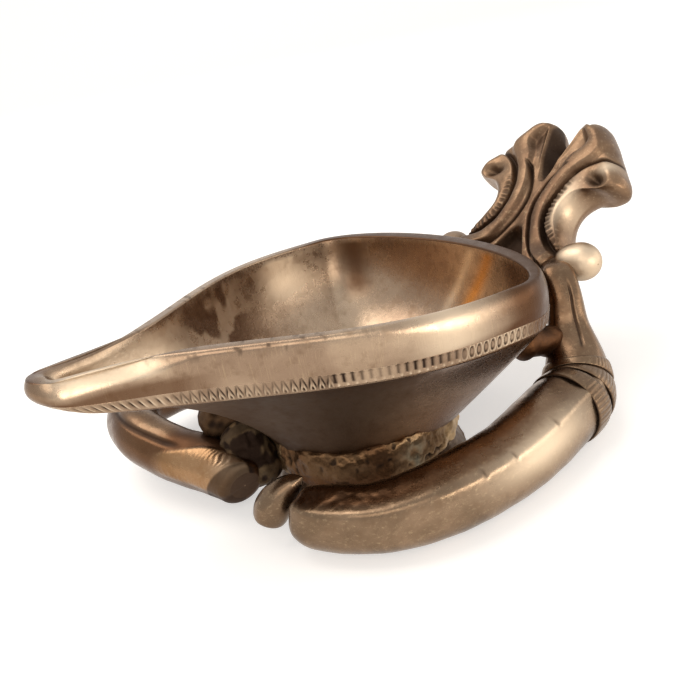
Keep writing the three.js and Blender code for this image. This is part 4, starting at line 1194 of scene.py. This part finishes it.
def crest_root_grid():
    """The block between the crest's foot and the bowl: a rounded box that widens a little
    behind its front face, with lumps on it."""
    turn = np.arange(120) / 120 * 2 * np.pi
    box = np.stack([np.sign(np.cos(turn)) * np.abs(np.cos(turn)) ** ROOT_CORNER,
                    np.sign(np.sin(turn)) * np.abs(np.sin(turn)) ** ROOT_CORNER], -1)
    share = np.linspace(0, 1, 24)[:, None]
    front = hump(share, 0, 0.1)
    wide, rise = ROOT_HALF[0] - 1.6 * front, ROOT_HALF[1] - 0.8 * front
    back = ROOT_FRONT + ROOT_LENGTH * share
    grid = in_crest(wide * box[:, 0], ROOT_UP + rise * box[:, 1], back)[:, ::-1]
    return grid + 0.25 * bumps(grid, 4, 55)[..., None] * CREST_AXES[1]


crest_root = surface("crest_root", placed(crest_root_grid()))
crest_root.data.materials.append(crest_brass)
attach(crest_root, "root")
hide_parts("crest")

# Bud and brazes: a small curled end of cast brass in the front gap, and the lumps of hard
# solder that hold the legs and the far limb's front end to the bowl. The far limb's lump is
# made dark to stand in for shade as well, and a dark lump put between that end and the foot
# is painted shadow.

FRONT_BUD = np.array([[-26.9, -15.6, 14.6, 1.0], [-28.7, -14.3, 13.4, 2.2],
                      [-31.0, -12.6, 11.3, 3.3], [-32.7, -11.2, 8.8, 3.7],
                      [-33.6, -10.3, 6.6, 3.4], [-34.0, -9.5, 4.7, 2.5]])
BUD_SWELL = 1.06
BUD_RIDGE = 0.25
BUD_END = 2.2
END_SHARE = 0.97
LEG_WELD_INNER = (28.5, 23.6, 21.2)
LEG_WELD_OUTER = (43.0, 23.0, 17.5)
LEG_WELD_RADIUS = 3.6
LEG_WELD_ARCH = 1.6
ARM_WELD_RADIUS = 4.5
# Where the dark lump of painted shadow lies.
SHADOW_LUMP_TOP = (-27.8, 9.2, 19.0)
SHADOW_LUMP_FOOT = (-23.4, 6.2, 3.5)
SHADOW_LUMP_RADIUS = 5.1


def lump_grid(start, end, radius, size, seed, arch=0.0, steps=60, sides=72):
    """A short bar between two points, round at its ends, arched up and swollen by lumps. Also
    gives how dark it is, which is more in its dents."""
    share = np.linspace(0, 1, steps)
    path = np.column_stack([start + (end - start) * share[:, None], np.full(steps, radius)])
    path[:, 2] += arch * np.sin(np.pi * share)
    length = np.linalg.norm(end - start)
    turn = np.arange(sides) / sides * 2 * np.pi
    frame_at = path_frame(path, share * length)
    inset = np.minimum(share, 1 - share) * length
    round_end = np.sqrt(1 - np.clip(1 - inset / (radius * 0.8), 0, END_SHARE) ** 2)
    wide = (radius * round_end)[:, None] + 0 * turn
    grid = ring_points(path, frame_at, wide, turn)
    away = grid - path[:, None, :3]
    away /= np.linalg.norm(away, axis=-1, keepdims=True)
    lumps = bumps(grid, size, seed) + 0.5 * bumps(grid, size / 2.4, seed + 1)
    swollen = grid + away * (0.1 * radius * lumps * round_end[:, None])[..., None]
    return swollen, np.clip(-lumps * 0.6, 0, 1)


bud_path, bud_at, _ = smooth_path(FRONT_BUD, 120)
bud_turn = np.arange(72) / 72 * 2 * np.pi
bud_inset = np.minimum(bud_at, bud_at[-1] - bud_at)
bud_round = np.sqrt(1 - np.clip(1 - bud_inset / BUD_END, 0, END_SHARE) ** 2)[:, None]
bud_wide = bud_round * (BUD_SWELL * bud_path[:, 3:] + BUD_RIDGE * turn_hump(bud_turn, -60, 25))
bud_points = ring_points(bud_path, path_frame(bud_path, bud_at), bud_wide, bud_turn)
bud = surface("curled_bud", placed(bud_points))
bud.data.materials.append(limb_brass)
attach(bud, "root")
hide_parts("front_bud")

for side_name, side in (("near", -1), ("far", 1)):
    inner, outer = (np.array(spot) * (1, side, 1) for spot in (LEG_WELD_INNER, LEG_WELD_OUTER))
    grid, dark = lump_grid(inner, outer, LEG_WELD_RADIUS, 5.5, 61, LEG_WELD_ARCH)
    weld = surface(f"{side_name}_leg_solder", placed(grid))
    mark(weld, "recess", dark)
    mark(weld, "stain_and_shade", np.full(dark.shape, 1.0))
    weld.data.materials.append(solder_brass)
    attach(weld, "root")
    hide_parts(f"{side_name}_leg_braze")

arm_box_low, arm_box_high = (np.array(tuple(corner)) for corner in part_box("far_arm_braze"))
weld_low, weld_high = (arm_box_low - FOOT_CENTRE) / MM, (arm_box_high - FOOT_CENTRE) / MM
weld_inner = np.array([weld_high[0] + 1, weld_low[1] + 2.5, 17.2])
weld_outer = np.array([weld_low[0] + 3.5, weld_high[1] - 4.5, 19.2])
grid, dark = lump_grid(weld_inner, weld_outer, ARM_WELD_RADIUS, 3.2, 71)
far_weld = surface("far_limb_solder", placed(grid))
# Painted shade: the far limb's braze is made dark, so that it also stands in for the shade in the gap
# above the foot.
mark(far_weld, "recess", np.clip(0.55 + dark, 0, 1))
mark(far_weld, "stain_and_shade", np.full(dark.shape, 0.85))
far_weld.data.materials.append(solder_brass)
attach(far_weld, "root")
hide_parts("far_arm_braze")

# Painted shadow: a dark solder lump put in the gap between the far limb's end and the foot, where there
# is only shade.
grid, dark = lump_grid(np.array(SHADOW_LUMP_TOP), np.array(SHADOW_LUMP_FOOT), SHADOW_LUMP_RADIUS, 3.4, 75)
shadow_lump = surface("painted_shadow_lump", placed(grid))
mark(shadow_lump, "recess", np.clip(0.85 + dark, 0, 1))
shadow_lump.data.materials.append(solder_brass)
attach(shadow_lump, "root")
